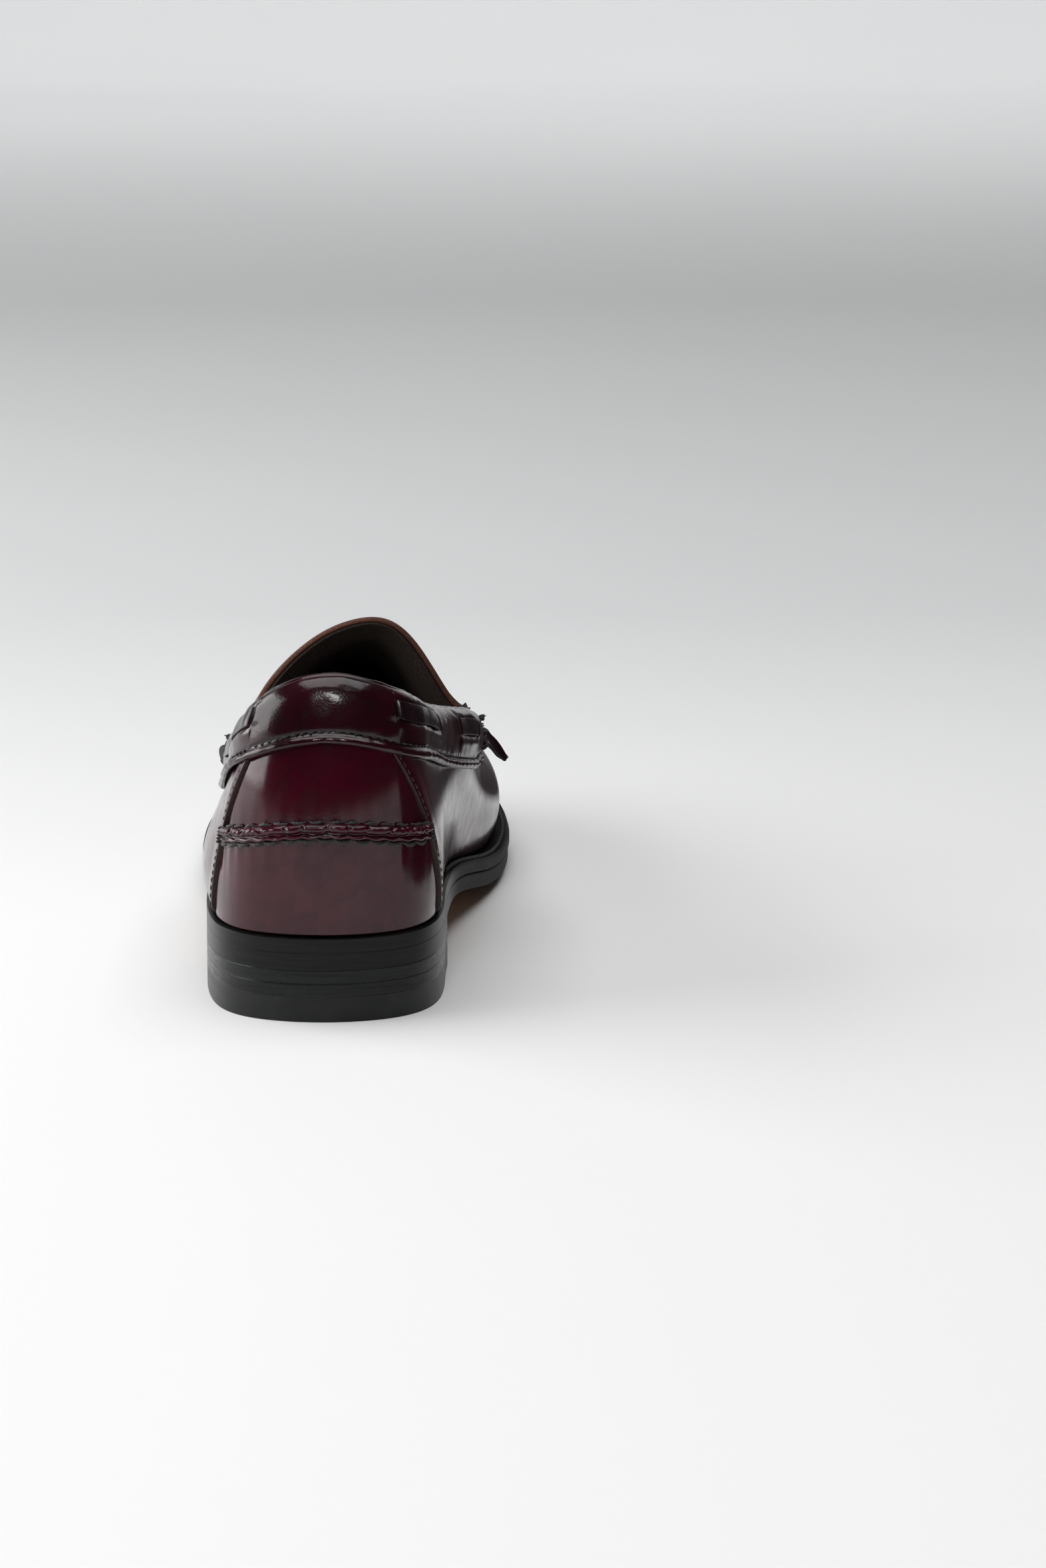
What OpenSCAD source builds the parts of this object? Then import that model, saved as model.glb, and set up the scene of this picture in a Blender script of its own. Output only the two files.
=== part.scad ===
// Beefroll penny loafer for the left foot, with a hand sewn heel roll and a lace threaded round the collar.
// +Z is up, the toe points to -Y and the inner side of the foot is -X. All sizes are in millimetres.

/* [Last] */
// Length of the last from the back of the heel to the toe
last_length = 250; // [235:5:270]
// Width of the last as a share of the drawn width
last_width = 1; // [0.94:0.02:1.06]
// Height of the heel seat above the floor
heel_height = 21.5; // [19:0.5:25]
// Height of the toe above the floor
toe_spring = 8; // [4:1:12]

/* [Sole] */
// Thickness of the welt layer
welt_t = 3.6; // [3:0.2:4]
// Thickness of the leather outsole
outsole_t = 4.4; // [3.6:0.2:4.8]
// Thickness of the rubber top lift under the heel
top_lift_t = 6.5; // [5:0.5:8]
// How far the sole edge stands out at the ball of the foot
edge_at_ball = 5; // [4:0.5:6]
// Length of the heel block
heel_length = 60; // [54:2:64]

/* [Upper] */
// Thickness of the upper leather
upper_t = 1.2; // [1:0.1:1.3]
// Height of the collar band
band_height = 16.6; // [15:0.2:19]
// Width of the side lace
lace_width = 4.6; // [3.8:0.2:4.8]
// Share of the panel height at which the heel roll sits
roll_at = 0.477; // [0.42:0.01:0.52]
// Length of the slot in the saddle strap
slot_length = 22; // [16:2:26]
// Spacing of the hand stitches
stitch_pitch = 4.2; // [3.6:0.2:6]

/* [Hidden] */

burgundy = [0.24, 0.05, 0.08];
black_leather = [0.06, 0.06, 0.06];
tan_leather = [0.66, 0.42, 0.24];
thread_black = [0.03, 0.03, 0.03];

// The last, as stations round the foot: 0 is the back of the heel, 1 to 8 run up the inner side,
// 9 is the toe and 10 to 17 come back down the outer side. Each station gives the distance s
// forward of the heel and m towards the inner side at the sole, the height of the top rail, how
// far the top rail leans in, and how far the wall bulges at one third and two thirds of its height.
STATIONS = [
    [2.5,   0.0,  88.6,  5.5, 1.8,  0.8],
    [8.0,   18.8, 84.2,  5.5, 1.4,  0.2],
    [26.0,  28.2, 79.0,  8.0, 0.2, -3.0],
    [60.0,  29.3, 69.5,  3.1, 0.8,  0.4],
    [98.0,  31.8, 60.6, -3.5, 2.7,  5.1],
    [132.0, 37.0, 51.0,  9.0, 2.8,  1.1],
    [168.0, 41.5, 41.5, 12.5, 2.4, -1.4],
    [207.0, 38.0, 37.5, 12.5, 1.8, -1.6],
    [236.0, 25.4, 35.5, 11.5, 1.6, -1.6],
    [248.0, 4.0,  34.5, 15.0, 1.6, -2.6],
    [236.0, -17.4, 35.5, 11.0, 1.6, -1.6],
    [207.0, -29.8, 37.0, 12.0, 1.6, -1.6],
    [168.0, -33.6, 40.5, 15.3, 0.4, -5.6],
    [132.0, -31.4, 46.4, 12.1, 1.3, -4.1],
    [98.0,  -28.3, 54.8,  2.7, -2.0, -0.2],
    [60.0,  -30.3, 64.5,  5.6, 2.0, -3.1],
    [26.0,  -28.2, 75.4,  8.1, 0.4, -2.4],
    [8.0,   -18.8, 83.6,  5.5, 1.4,  0.2]
];
COUNT = len(STATIONS);
DRAWN_LENGTH = 250;
DRAWN_HEEL = 21.5;
TOE = 9;

// Where the middle of the shoe lies on the s and m scales of the last.
middle_s = 125.595;
middle_m = 3.986;

waist_start = 70;
waist_end = 155;
toe_start = 182;
sole_sag = 2.2;
collar_lean = 2.5;
edge_at_heel = 1.1;

ball_height = welt_t + outsole_t + sole_sag;
lift_gap = 0.1;
lift_t = (heel_height - welt_t - outsole_t - top_lift_t) / 2;

counter_t = 0.8;
puff_t = 0.6;
layer_gap = 0.3;
counter_gap = 0.36;
counter_off = -upper_t - counter_gap;
lining_off = -upper_t - counter_t - 2 * layer_gap;
lining_t = 0.7;
footbed_off = lining_off - lining_t - 0.7;

panel_step = 0.25;
collar_end = 4.07;
panel_top_drop = 9;
step_end = 4.22;
seam_start = 1.98;
SEAM_LOW = [1.98, 2];
SEAM_RISE = [1.13, 1.5];
SEAM_BEND = [1.6, 1.5];
seam_gap = 0.012;
bottom_row = 0.012;
roll_half = 2.1;
thread_r = 0.38;

lace_t = 0.9;
lace_mid_drop = 5.4;
lace_out = 2.75;
lace_in = -0.25;
slit_length = 4.8;
lace_ramp = 3.4;
SLITS = [[0.9, 2.55, 3.15, 3.65], [1.1, 2.42, 3.05, 3.6]];

roll_r = 1.35;
roll_off = 2.35;
roll_u = 4.24;

function lerp(a, b, t) = a + (b - a) * t;
function clamp(x, low, high) = max(low, min(high, x));
function ease(low, high, x) = let (t = clamp((x - low) / (high - low), 0, 1)) t * t * (3 - 2 * t);
function unit(v) = v / max(norm(v), 0.000001);
function steps(low, high, n) = [for (i = [0:n]) lerp(low, high, i / n)];
function mirrored(u) = COUNT - u;

// One row of the station table at any place u round the foot, by a closed Catmull-Rom curve.
function station(i) = STATIONS[((i % COUNT) + COUNT) % COUNT];
function row_at(u) =
    let (
        i = floor(u), t = u - i,
        a = station(i - 1), b = station(i), c = station(i + 1), d = station(i + 2)
    )
    0.5 * (2 * b + (c - a) * t + (2 * a - 5 * b + 4 * c - d) * t * t + (3 * b - a - 3 * c + d) * t * t * t);
function scaled_row(u) =
    let (r = row_at(u), k = last_length / DRAWN_LENGTH)
    [r[0] * k, r[1] * last_width, r[2] + seat_lift(r[0] * k), r[3], r[4], r[5]];

// Height of the heel seat and of the sole's top face at a distance s from the heel.
function seat_lift(s) = (heel_height - DRAWN_HEEL) * (1 - ease(waist_start, waist_end, s));
function seat(s) =
    heel_height - (heel_height - ball_height) * ease(waist_start, waist_end, s)
    + toe_spring * pow(clamp((s - toe_start) / (last_length - toe_start), 0, 2), 2);

// How much lower than its edges the middle of the outsole lies, so that its tread is rounded.
function sag(s) = sole_sag * ease(waist_start, waist_end, s) * (1 - ease(200, last_length - 2, s));

// Outward direction of the last's outline in plan, and how fast the outline runs with u.
function plan_step(u) =
    let (e = 0.001, d = scaled_row(u + e) - scaled_row(u - e)) [d[0], d[1]] / (2 * e);
function outward(u) = let (d = unit(plan_step(u))) [-d[1], d[0]];
function reach(u, mm) = mm / norm(plan_step(u));

// Bulge of the wall at a share v of its height: none at the sole, the lean of the rail at the top.
function bulge(r, v) =
    let (t = 3 * v)
    r[4] * t * (t - 2) * (t - 3) / 2 - r[5] * t * (t - 1) * (t - 3) / 2 - r[3] * t * (t - 1) * (t - 2) / 6;

// A point s, m, z of the last put in the shoe's own frame.
function place(s, m, z) = [middle_m - m, middle_s - s, z];
function to_last(p) = [middle_s - p[1], middle_m - p[0], p[2]];

// A point on the wall of the last, at u round the foot and v up the wall, moved out by off.
function wall(u, v, off = 0) =
    let (
        r = scaled_row(u), n = outward(u), k = bulge(r, v) + off,
        lean = collar_lean * v * (1 - ease(60, 130, r[0])), low = seat(r[0])
    )
    place(r[0] + n[0] * k, r[1] + n[1] * k + lean, lerp(low, r[2], v));
function wall_height(u) = let (r = scaled_row(u)) r[2] - seat(r[0]);
function drop_v(u, drop) = 1 - drop / wall_height(u);

// A point of the sole outline, moved out by off and set rise above the seat.
function sole_point(u, off, rise) =
    let (r = scaled_row(u), n = outward(u), s = r[0] + n[0] * off)
    place(s, r[1] + n[1] * off, seat(s) + rise);
function edge(s) = lerp(edge_at_heel, edge_at_ball, ease(45, 130, s));
function edge_at(u) = edge(scaled_row(u)[0]);

// Places round the foot measured both ways from the heel: -4 is the outer side, +4 the inner side.
function round_u(u) = u < 0 ? u + COUNT : u;
function panel_top(u) =
    let (d = min(abs(u), abs(mirrored(u))))
    1 - lerp(panel_top_drop, 0, clamp((d - collar_end) / (step_end - collar_end), 0, 1)) / wall_height(u);
function skin(u, y, off) = wall(u, lerp(bottom_row, panel_top(round_u(u)), y), off);

// Where a side seam lies at a share y of the panel height. The inner one lies nearer the heel.
function seam_u(y, inner) =
    let (k = inner ? 1 : 0)
    SEAM_LOW[k] - SEAM_RISE[k] * pow(y, SEAM_BEND[k]);

// Height that the front of the upper rises between its two rails.
CROWNS = [29, 17.5, 10.5, 6.6, 3.6, 0.5];
function crown(a) =
    let (x = clamp(a - 4.15, 0, 4.85), i = min(floor(x), 4))
    lerp(CROWNS[i], CROWNS[i + 1], x - i) + 1.2 * (x - i) * (x - i - 1) * (i == 0 ? 2.4 : 0.6);

// A point of the patch between the rails: a runs from the arch (4.15) to the toe (9), t across.
function patch(a, t, inset = 0) =
    let (
        p = wall(a, 1, -inset), q = wall(mirrored(a), 1, -inset),
        w = ease(4.2, 5.6, a),
        power = lerp(1.3 - 0.7 * ease(0, 0.65, t), 0.95, w),
        k = sin(180 * t),
        h = pow(max(k, 0), power)
    )
    lerp(p, q, t) + [-lerp(2.8, 1, w) * k, lerp(4, 0, w) * k, crown(a) * h];

// The saddle surface runs up the inner wall, over the patch and down the outer wall as q goes
// from -1 to 1.
function saddle(a, q) =
    q < -0.5 ? wall(a, 2 * (q + 1))
    : q > 0.5 ? wall(mirrored(a), 2 * (1 - q))
    : patch(a, q + 0.5);

function grid_normal(g, i, j) =
    let (
        n = len(g) - 1, k = len(g[0]) - 1,
        du = g[min(i + 1, n)][j] - g[max(i - 1, 0)][j],
        dv = g[i][min(j + 1, k)] - g[i][max(j - 1, 0)]
    )
    unit(cross(du, dv));
function moved(g, d) =
    [for (i = [0:len(g) - 1]) [for (j = [0:len(g[0]) - 1]) g[i][j] + grid_normal(g, i, j) * d]];

// A closed sheet between two grids of points that match. A cell named in holes is left out, and
// loop joins the last row back to the first.
module sheet(outer, inner, loop = false, hole = []) {
    rows = len(outer);
    cols = len(outer[0]);
    last = loop ? rows - 1 : rows - 2;
    function at(i, j) = (i % rows) * cols + j;
    function open(i, j) =
        j < 0 || j > cols - 2 || (!loop && (i < 0 || i > last))
        || len([for (h = hole) if (h == [(i + rows) % rows, j]) h]) > 0;
    base = rows * cols;
    cells = [for (i = [0:last]) for (j = [0:cols - 2]) if (!open(i, j)) [i, j]];
    function quad(a, b, c, d) = [[a, b, c], [a, c, d]];
    faces = [
        for (c = cells)
            let (
                i = c[0], j = c[1],
                p = at(i, j), q = at(i + 1, j), r = at(i + 1, j + 1), s = at(i, j + 1)
            )
            each concat(
                quad(p, q, r, s),
                quad(base + s, base + r, base + q, base + p),
                open(i - 1, j) ? quad(p, s, base + s, base + p) : [],
                open(i + 1, j) ? quad(r, q, base + q, base + r) : [],
                open(i, j - 1) ? quad(q, p, base + p, base + q) : [],
                open(i, j + 1) ? quad(s, r, base + r, base + s) : []
            )
    ];
    flat = [each [for (g = outer) each g], each [for (g = inner) each g]];
    polyhedron(flat, faces, convexity = 8);
}

// Turns a solid that stands on +Z so that it runs from one point towards another.
module along(p, q) {
    d = q - p;
    translate(p)
        rotate([0, acos(d[2] / norm(d)), atan2(d[1], d[0])])
            children();
}

// A round rod between two points.
module rod(p, q, r) {
    along(p, q)
        cylinder(h = norm(q - p), r = r, $fn = 16);
}

// Places spaced about pitch apart along the outline between two stations.
function spaced(low, high, pitch) =
    [for (k = [floor(low):ceil(high) - 1])
        let (
            a = max(low, k), b = min(high, k + 1),
            n = max(1, round((b - a) * norm(plan_step((a + b) / 2)) / pitch))
        )
        each [for (i = [0:n - 1]) lerp(a, b, (i + 0.5) / n)]];

// ---- Sole and heel ----

SOLE_U = concat([0.05, 0.25, 0.5, 0.75], steps(1, 8, 28), [8.25, 8.5, 8.75, 8.95]);

// The outer wall leans in over the waist, and the footbed is cut narrower there.
function waist_tuck(u) = 1.3 * (1 - ease(0.35, 1.25, abs(u - 4)));

// A plate across the whole foot from one station to another, between two heights above the seat.
module footbed(us, off, low, high) {
    function side(u, rise) =
        let (p = sole_point(u, off, rise), q = sole_point(mirrored(u), off - waist_tuck(u), rise))
        [for (t = [0, 0.33, 0.67, 1]) lerp(p, q, t)];
    sheet([for (u = us) side(u, low)], [for (u = us) side(u, high)]);
}

module heel_outline() {
    near = [for (u = steps(-3, 3, 48)) let (p = sole_point(u, edge_at_heel, 0), s = to_last(p)[0])
        if (s < heel_length) [p[0], p[1]]];
    polygon(near);
}

NAILS = [[14, 0], [24, 17], [24, -17], [46, 18], [46, -18]];
nail_r = 0.8;
nail_head_r = 1.7;
nail_head_t = 0.8;
nail_length = 12;

module nail_holes(depth) {
    for (n = NAILS)
        translate(place(n[0], n[1], -1))
            cylinder(h = depth + 1, r = nail_r + lift_gap, $fn = 24);
}

module lift(low, high) {
    difference() {
        translate([0, 0, low])
            linear_extrude(height = high - low)
                heel_outline();
        nail_holes(nail_length + lift_gap);
    }
}

module top_lift() {
    color(black_leather)
        difference() {
            lift(0, top_lift_t - lift_gap);
            for (n = NAILS)
                translate(place(n[0], n[1], -1))
                    cylinder(h = 1 + nail_head_t + lift_gap, r = nail_head_r + lift_gap, $fn = 24);
        }
}

module heel_lift_lower() {
    color(black_leather)
        lift(top_lift_t, top_lift_t + lift_t - lift_gap);
}

module heel_lift_upper() {
    color(black_leather)
        lift(top_lift_t + lift_t, top_lift_t + 2 * lift_t - lift_gap);
}

module heel_nails() {
    color([0.75, 0.6, 0.3])
        for (n = NAILS)
            translate(place(n[0], n[1], 0.2)) {
                cylinder(h = nail_head_t - 0.2, r = nail_head_r, $fn = 24);
                cylinder(h = nail_length - 0.2, r = nail_r, $fn = 24);
            }
}

module outsole() {
    function side(u, rise) =
        let (
            off = edge_at(u) - 0.3, p = sole_point(u, off, rise), q = sole_point(mirrored(u), off, rise),
            drop = sag(scaled_row(u)[0])
        )
        [for (t = steps(0, 1, 8)) lerp(p, q, t) - [0, 0, drop * (1 - pow(2 * t - 1, 2))]];
    color(tan_leather)
        sheet(
            [for (u = SOLE_U) side(u, -welt_t - outsole_t)],
            [for (u = SOLE_U) side(u, -welt_t - lift_gap)]
        );
}

module welt() {
    us = steps(0, COUNT - panel_step, 71);
    function ring(rise) =
        [for (u = us) [for (t = [0, 0.5, 1]) sole_point(u, lerp(-6, edge_at(u), t), rise)]];
    color(black_leather)
        sheet(ring(-welt_t), ring(0), loop = true);
}

// Lock stitches that show on top of the welt round the front of the foot.
module welt_thread() {
    color(thread_black)
        for (u = spaced(3.6, 14.4, stitch_pitch))
            let (d = reach(u, 1.3), off = edge_at(u) - 1.8)
                rod(sole_point(u - d, off, 0.5), sole_point(u + d, off, 0.5), thread_r);
}

module cork_filler() {
    color([0.55, 0.4, 0.25])
        footbed(concat(steps(4.6, 8, 14), [8.25, 8.5]), -6.6, -welt_t + 0.2, -0.3);
}

// Steel spring in the waist, between the insole and the outsole.
module shank() {
    half_w = 7;
    function strip(rise) =
        [for (s = steps(40, 108, 16)) [for (m = [-half_w, half_w]) place(s, m, seat(s) + rise)]];
    color([0.7, 0.72, 0.75])
        sheet(strip(-1.6), strip(-0.5));
}

module insole() {
    color(tan_leather)
        footbed([for (u = SOLE_U) clamp(u, 0.25, 8.75)], footbed_off, 0.3, 2.3);
}

module sock_lining() {
    color([0.09, 0.07, 0.07])
        footbed([for (u = SOLE_U) clamp(u, 0.25, 8.75)], footbed_off - 0.3, 2.5, 3.7);
}

// ---- Upper ----

// The moccasin wrap: both quarters and the vamp wall in one piece, from side seam to side seam.
module vamp() {
    us = concat(
        steps(seam_start, 3.25, 6), steps(3.5, 4, 2), [collar_end, step_end], steps(4.5, 13.5, 36),
        [mirrored(step_end), mirrored(collar_end)], steps(14, 14.5, 2),
        steps(14.75, mirrored(seam_start), 6)
    );
    function shifted(u, y) =
        let (
            inner = u < TOE, d = min(u, mirrored(u)),
            pull = (seam_u(y, inner) - seam_start + seam_gap) * (1 - ease(seam_start, 3.25, d))
        )
        inner ? u + pull : u - pull;
    function face(off) = [for (u = us) [for (y = steps(0, 1, 8)) skin(shifted(u, y), y, off)]];
    color(burgundy)
        sheet(face(-upper_t), face(0));
}

FRONT_A = concat(steps(4.4, 8, 18), [8.2, 8.4, 8.6, 8.75]);

// The raised plug over the toes, sewn inside the edge of the vamp.
module apron() {
    g = [for (a = FRONT_A) [for (t = steps(0, 1, 14)) patch(a, t, upper_t + 0.6)]];
    color(burgundy)
        sheet(moved(g, -upper_t), g);
}

// Hand stitches that cross the seam between the vamp and the apron.
module apron_thread() {
    color(thread_black)
        for (u = spaced(5.3, 12.7, stitch_pitch))
            rod(wall(u, 0.93, 1.3), wall(u, 1, -2.4) + [0, 0, 4], thread_r);
}

// The tongue is flush with the arch at its free edge and dives under the apron in front of it.
TONGUE_A = [4.15, 4.19, 4.24, 4.3, 4.36, 4.5, 4.7, 4.9];
tongue_sink = upper_t + 0.5;
tongue_t = 1.9;
tongue_lining_t = 0.8;
function sink(a) = tongue_sink * ease(4.15, 4.36, a);
function tongue_face(low, high, depth) =
    let (
        g = [for (a = TONGUE_A) [
            for (t = steps(low, high, 20)) patch(a, t, lerp(0.5, 2.8, ease(4.15, 4.28, a)))
        ]]
    )
    [for (i = [0:len(g) - 1]) [
        for (j = [0:20]) g[i][j] - grid_normal(g, i, j) * (sink(TONGUE_A[i]) + depth)
    ]];

module tongue() {
    color(burgundy)
        sheet(tongue_face(0.03, 0.97, tongue_t), tongue_face(0.03, 0.97, 0));
}

module tongue_lining() {
    top = tongue_t + layer_gap;
    color([0.07, 0.05, 0.06])
        sheet(tongue_face(0.05, 0.95, top + tongue_lining_t), tongue_face(0.05, 0.95, top));
}

// The strap across the instep, with the slot that gives the shoe its name.
module saddle_strap() {
    slot_half = slot_length / 160;
    ws = concat(steps(0, 0.42, 13), steps(0.5 - slot_half, 0.5 + slot_half, 4), steps(0.58, 1, 13));
    xs = [0, 0.2, 0.4, 0.6, 0.8, 1];
    function rear_a(w) = 4.33 + 0.14 * pow(sin(180 * w), 0.6);
    function front_a(w) = 4.37 + 0.8 * pow(sin(180 * w), 0.7);
    function point(w, x) =
        let (end = lerp(-0.52, -0.68, x), a = lerp(rear_a(w), front_a(w), x))
        saddle(a, lerp(end, -end, w));
    g = [for (w = ws) [for (x = xs) point(w, x)]];
    slot = [for (i = [14:17]) [i, 2]];
    color(burgundy)
        sheet(moved(g, -1.45), moved(g, -0.45), hole = slot);
}

// Frame of a beefroll: its lower and upper ends on one side of the shoe.
function roll_foot(u) = wall(u, 0.74, roll_off);
function roll_head(u) = wall(u, 0.96, roll_off);

module beefroll(u) {
    p = roll_foot(u);
    q = roll_head(u);
    h = norm(q - p);
    half = [[0, -roll_r * 0.7], [roll_r * 0.6, -roll_r * 0.7], [roll_r * 0.9, -roll_r * 0.4], [roll_r, 0]];
    other = [for (k = [3:-1:0]) [half[k][0], h - half[k][1]]];
    along(p, q)
        rotate_extrude($fn = 48)
            polygon(concat(half, other));
}

module beefroll_medial() {
    color(burgundy)
        beefroll(roll_u);
}

module beefroll_lateral() {
    color(burgundy)
        beefroll(mirrored(roll_u));
}

// Rings of thread that bind each roll.
module beefroll_thread() {
    ring_r = roll_r + 0.28;
    color(thread_black)
        for (u = [roll_u, mirrored(roll_u)])
            for (k = [0.05:0.3:0.95])
                along(lerp(roll_foot(u), roll_head(u), k), roll_head(u) * 2 - roll_foot(u))
                    rotate_extrude($fn = 32)
                        translate([ring_r, 0])
                            circle(r = 0.2, $fn = 16);
}

// ---- Collar ----

function slit_edges(u) = [u - reach(u, slit_length / 2), u + reach(u, slit_length / 2)];
function between_slits(slits, k) =
    k == 0 ? steps(0, slit_edges(slits[0])[0], 4)
    : k == len(slits) ? steps(slit_edges(slits[k - 1])[1], collar_end, 1)
    : steps(slit_edges(slits[k - 1])[1], slit_edges(slits[k])[0], ceil((slits[k] - slits[k - 1]) * 4));
function collar_half(slits) = [for (k = [0:len(slits)]) each between_slits(slits, k)];
function negated(list) = [for (i = [len(list) - 1:-1:1]) -list[i]];
COLLAR_U = concat(negated(collar_half(SLITS[1])), collar_half(SLITS[0]));

// The slits on the side of the foot where u lies. The outer side has a negative u.
function slits_at(u) = SLITS[u < 0 ? 1 : 0];
function is_slit(u) =
    len([for (s = slits_at(u)) if (abs(abs(u) - s) < reach(s, slit_length / 2) * 0.9) s]) > 0;

// Section of the folded band as offset from the last and drop below the rail, outer face first.
bead = band_height - 2;
BAND_OUT = [
    [1.5, band_height], [2.2, bead + 0.8], [2.2, bead - 0.2], [1.6, bead - 1],
    [1.8, lace_mid_drop + lace_width / 2 + 0.3], [1.6, lace_mid_drop - lace_width / 2 - 0.3],
    [0.6, 0.8], [-0.9, 0.1], [-2.6, 0.6], [-4.4, 3.2], [-4.8, 9]
];
BAND_IN = [
    [0.3, band_height], [0.4, bead + 0.8], [0.4, bead - 0.2], [0.4, bead - 1],
    [0.6, lace_mid_drop + lace_width / 2 + 0.3], [0.5, lace_mid_drop - lace_width / 2 - 0.1],
    [-0.2, 1.9], [-1.2, 1.3], [-2.2, 1.7], [-3.5, 4], [-3.8, 9]
];
function band_point(u, e) = wall(round_u(u), drop_v(round_u(u), e[1]), e[0]);
function band_face(section) = [for (u = COLLAR_U) [for (e = section) band_point(u, e)]];

module collar_band() {
    holes = [for (i = [0:len(COLLAR_U) - 2]) if (is_slit((COLLAR_U[i] + COLLAR_U[i + 1]) / 2)) [i, 4]];
    color(burgundy)
        sheet(band_face(BAND_OUT), band_face(BAND_IN), hole = holes);
}

// Foam that pads the topline, inside the fold of the band.
module collar_padding() {
    us = steps(-collar_end + 0.05, collar_end - 0.05, 34);
    function face(off) = [for (u = us) [for (d = [8.4, 5.3, 2.4]) band_point(u, [off, d])]];
    color([0.8, 0.78, 0.7])
        sheet(face(-1.1), face(-2.1));
}

module collar_thread() {
    off = 1.6 + thread_r + 0.35;
    drop = bead - 1.6;
    color(thread_black)
        for (side = [-1, 1])
            for (u = spaced(0, collar_end, stitch_pitch * 1.1))
                let (d = reach(u, 1.2))
                    rod(
                        band_point(side * (u - d), [off, drop]),
                        band_point(side * (u + d), [off, drop]), thread_r
                    );
}

// The lace dips under the band at one slit and comes out at the next.
function lace_off(u) =
    let (
        slits = slits_at(u),
        near = [for (k = [0:len(slits) - 1]) if (abs(u) > slits[k] - reach(slits[k], lace_ramp / 2)) k],
        k = len(near) - 1
    )
    k < 0 ? lace_in
    : let (
        w = reach(slits[k], lace_ramp / 2), t = clamp((abs(u) - slits[k] + w) / (2 * w), 0, 1),
        from = k % 2 == 0 ? lace_in : lace_out, to = k % 2 == 0 ? lace_out : lace_in
    )
    lerp(from, to, t);
function ramp_edges(s) = [s - reach(s, lace_ramp / 2), s + reach(s, lace_ramp / 2)];
function lace_run(slits, k) =
    k == 0 ? steps(0, ramp_edges(slits[0])[0], 4)
    : k == len(slits) ? [ramp_edges(slits[k - 1])[1], collar_end - 0.03]
    : steps(ramp_edges(slits[k - 1])[1], ramp_edges(slits[k])[0], ceil((slits[k] - slits[k - 1]) * 4));
function lace_half(slits) = [for (k = [0:len(slits)]) each lace_run(slits, k)];
LACE_U = concat(negated(lace_half(SLITS[1])), lace_half(SLITS[0]));

module side_lace() {
    drops = [for (k = [1, 0, -1]) lace_mid_drop + k * lace_width / 2];
    function face(d) = [for (u = LACE_U) [for (h = drops) band_point(u, [lace_off(u) + d, h])]];
    color(black_leather)
        sheet(face(lace_t / 2), face(-lace_t / 2));
}

end_length = 13;
end_t = 1.1;
end_r = 0.6;

// The loose end of the lace: a fold round the hinge line and a strip cut to a point.
module lace_end(u, off, side, swing) {
    root = wall(u, 0.86, off);
    droop = 38;
    translate(root)
        rotate([0, 0, side * swing])
            rotate([droop, 0, 0]) {
                translate([-end_t / 2, -end_length, 0])
                    rotate([90, 0, 90])
                        linear_extrude(height = end_t)
                            polygon([
                                [end_length, -lace_width / 2], [end_length, lace_width / 2],
                                [end_length * 0.45, lace_width / 2], [0, 0.4], [0, -0.4],
                                [end_length * 0.45, -lace_width / 2]
                            ]);
                translate([0, 0, -lace_width / 2])
                    cylinder(h = lace_width, r = end_r, $fn = 24);
            }
}

module lace_end_medial() {
    color(black_leather)
        lace_end(roll_u + 0.1, 2.5, -1, 38);
}

module lace_end_lateral() {
    color(black_leather)
        lace_end(mirrored(roll_u + 0.1), 3.5, 1, 0);
}

// ---- Back of the shoe ----

// A panel of the heel between the two side seams, from one share of the height to another.
module heel_panel(low, high, rows) {
    xs = steps(-1, 1, 16);
    function face(off) = [for (x = xs) [for (y = steps(low, high, rows))
        skin(x * (seam_u(y, x > 0) - seam_gap), y, off)]];
    sheet(face(-upper_t), face(0));
}

module heel_panel_lower() {
    color(burgundy)
        heel_panel(0, roll_at - 0.004, 5);
}

module heel_panel_upper() {
    color(burgundy)
        heel_panel(roll_at + 0.004, 1, 6);
}

// The gathered roll of leather over the seam between the two panels.
module heel_roll() {
    us = steps(-1, 1, 24);
    half_y = roll_half / wall_height(0) / panel_top(0);
    turns = steps(-90, 90, 6);
    function along_u(x) = x * (seam_u(roll_at, x > 0) + 0.06);
    function outer(x, a) = skin(along_u(x), roll_at + half_y * sin(a), 0.4 + 2 * cos(a));
    function inner(x, a) = skin(along_u(x), roll_at + half_y * sin(a) * 0.98, 0.35);
    color(burgundy)
        sheet([for (x = us) [for (a = turns) outer(x, a)]], [for (x = us) [for (a = turns) inner(x, a)]]);
}

module heel_roll_thread() {
    half_y = (roll_half + 0.9) / wall_height(0) / panel_top(0);
    start = 0.04 - seam_u(roll_at, false);
    end = seam_u(roll_at, true) - 0.04;
    count = 19;
    color(thread_black)
        for (side = [-1, 1])
            for (i = [0:count - 1])
                let (
                    u = lerp(start, end, (i + 0.5) / count),
                    d = reach(u, 1.2),
                    y = roll_at + side * half_y
                )
                    rod(skin(u - d, y + 0.006, 0.95), skin(u + d, y - 0.006, 0.95), 0.5);
}

module side_seam_thread() {
    color(thread_black)
        for (side = [-1, 1])
            for (y = concat(steps(0.06, roll_at - 0.08, 7), steps(roll_at + 0.08, 0.8, 6)))
                let (u = seam_u(y, side > 0), d = reach(u, 0.9))
                    rod(skin(side * (u - d), y, 0.8), skin(side * (u + d), y + 0.01, 0.8), thread_r);
}

// ---- Inside ----

module heel_counter() {
    us = steps(-2.75, 2.75, 22);
    function face(off) = [for (u = us) [for (y = steps(0.03, 0.86, 5)) skin(u, y, off)]];
    color([0.75, 0.68, 0.55])
        sheet(face(counter_off - counter_t), face(counter_off));
}

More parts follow.
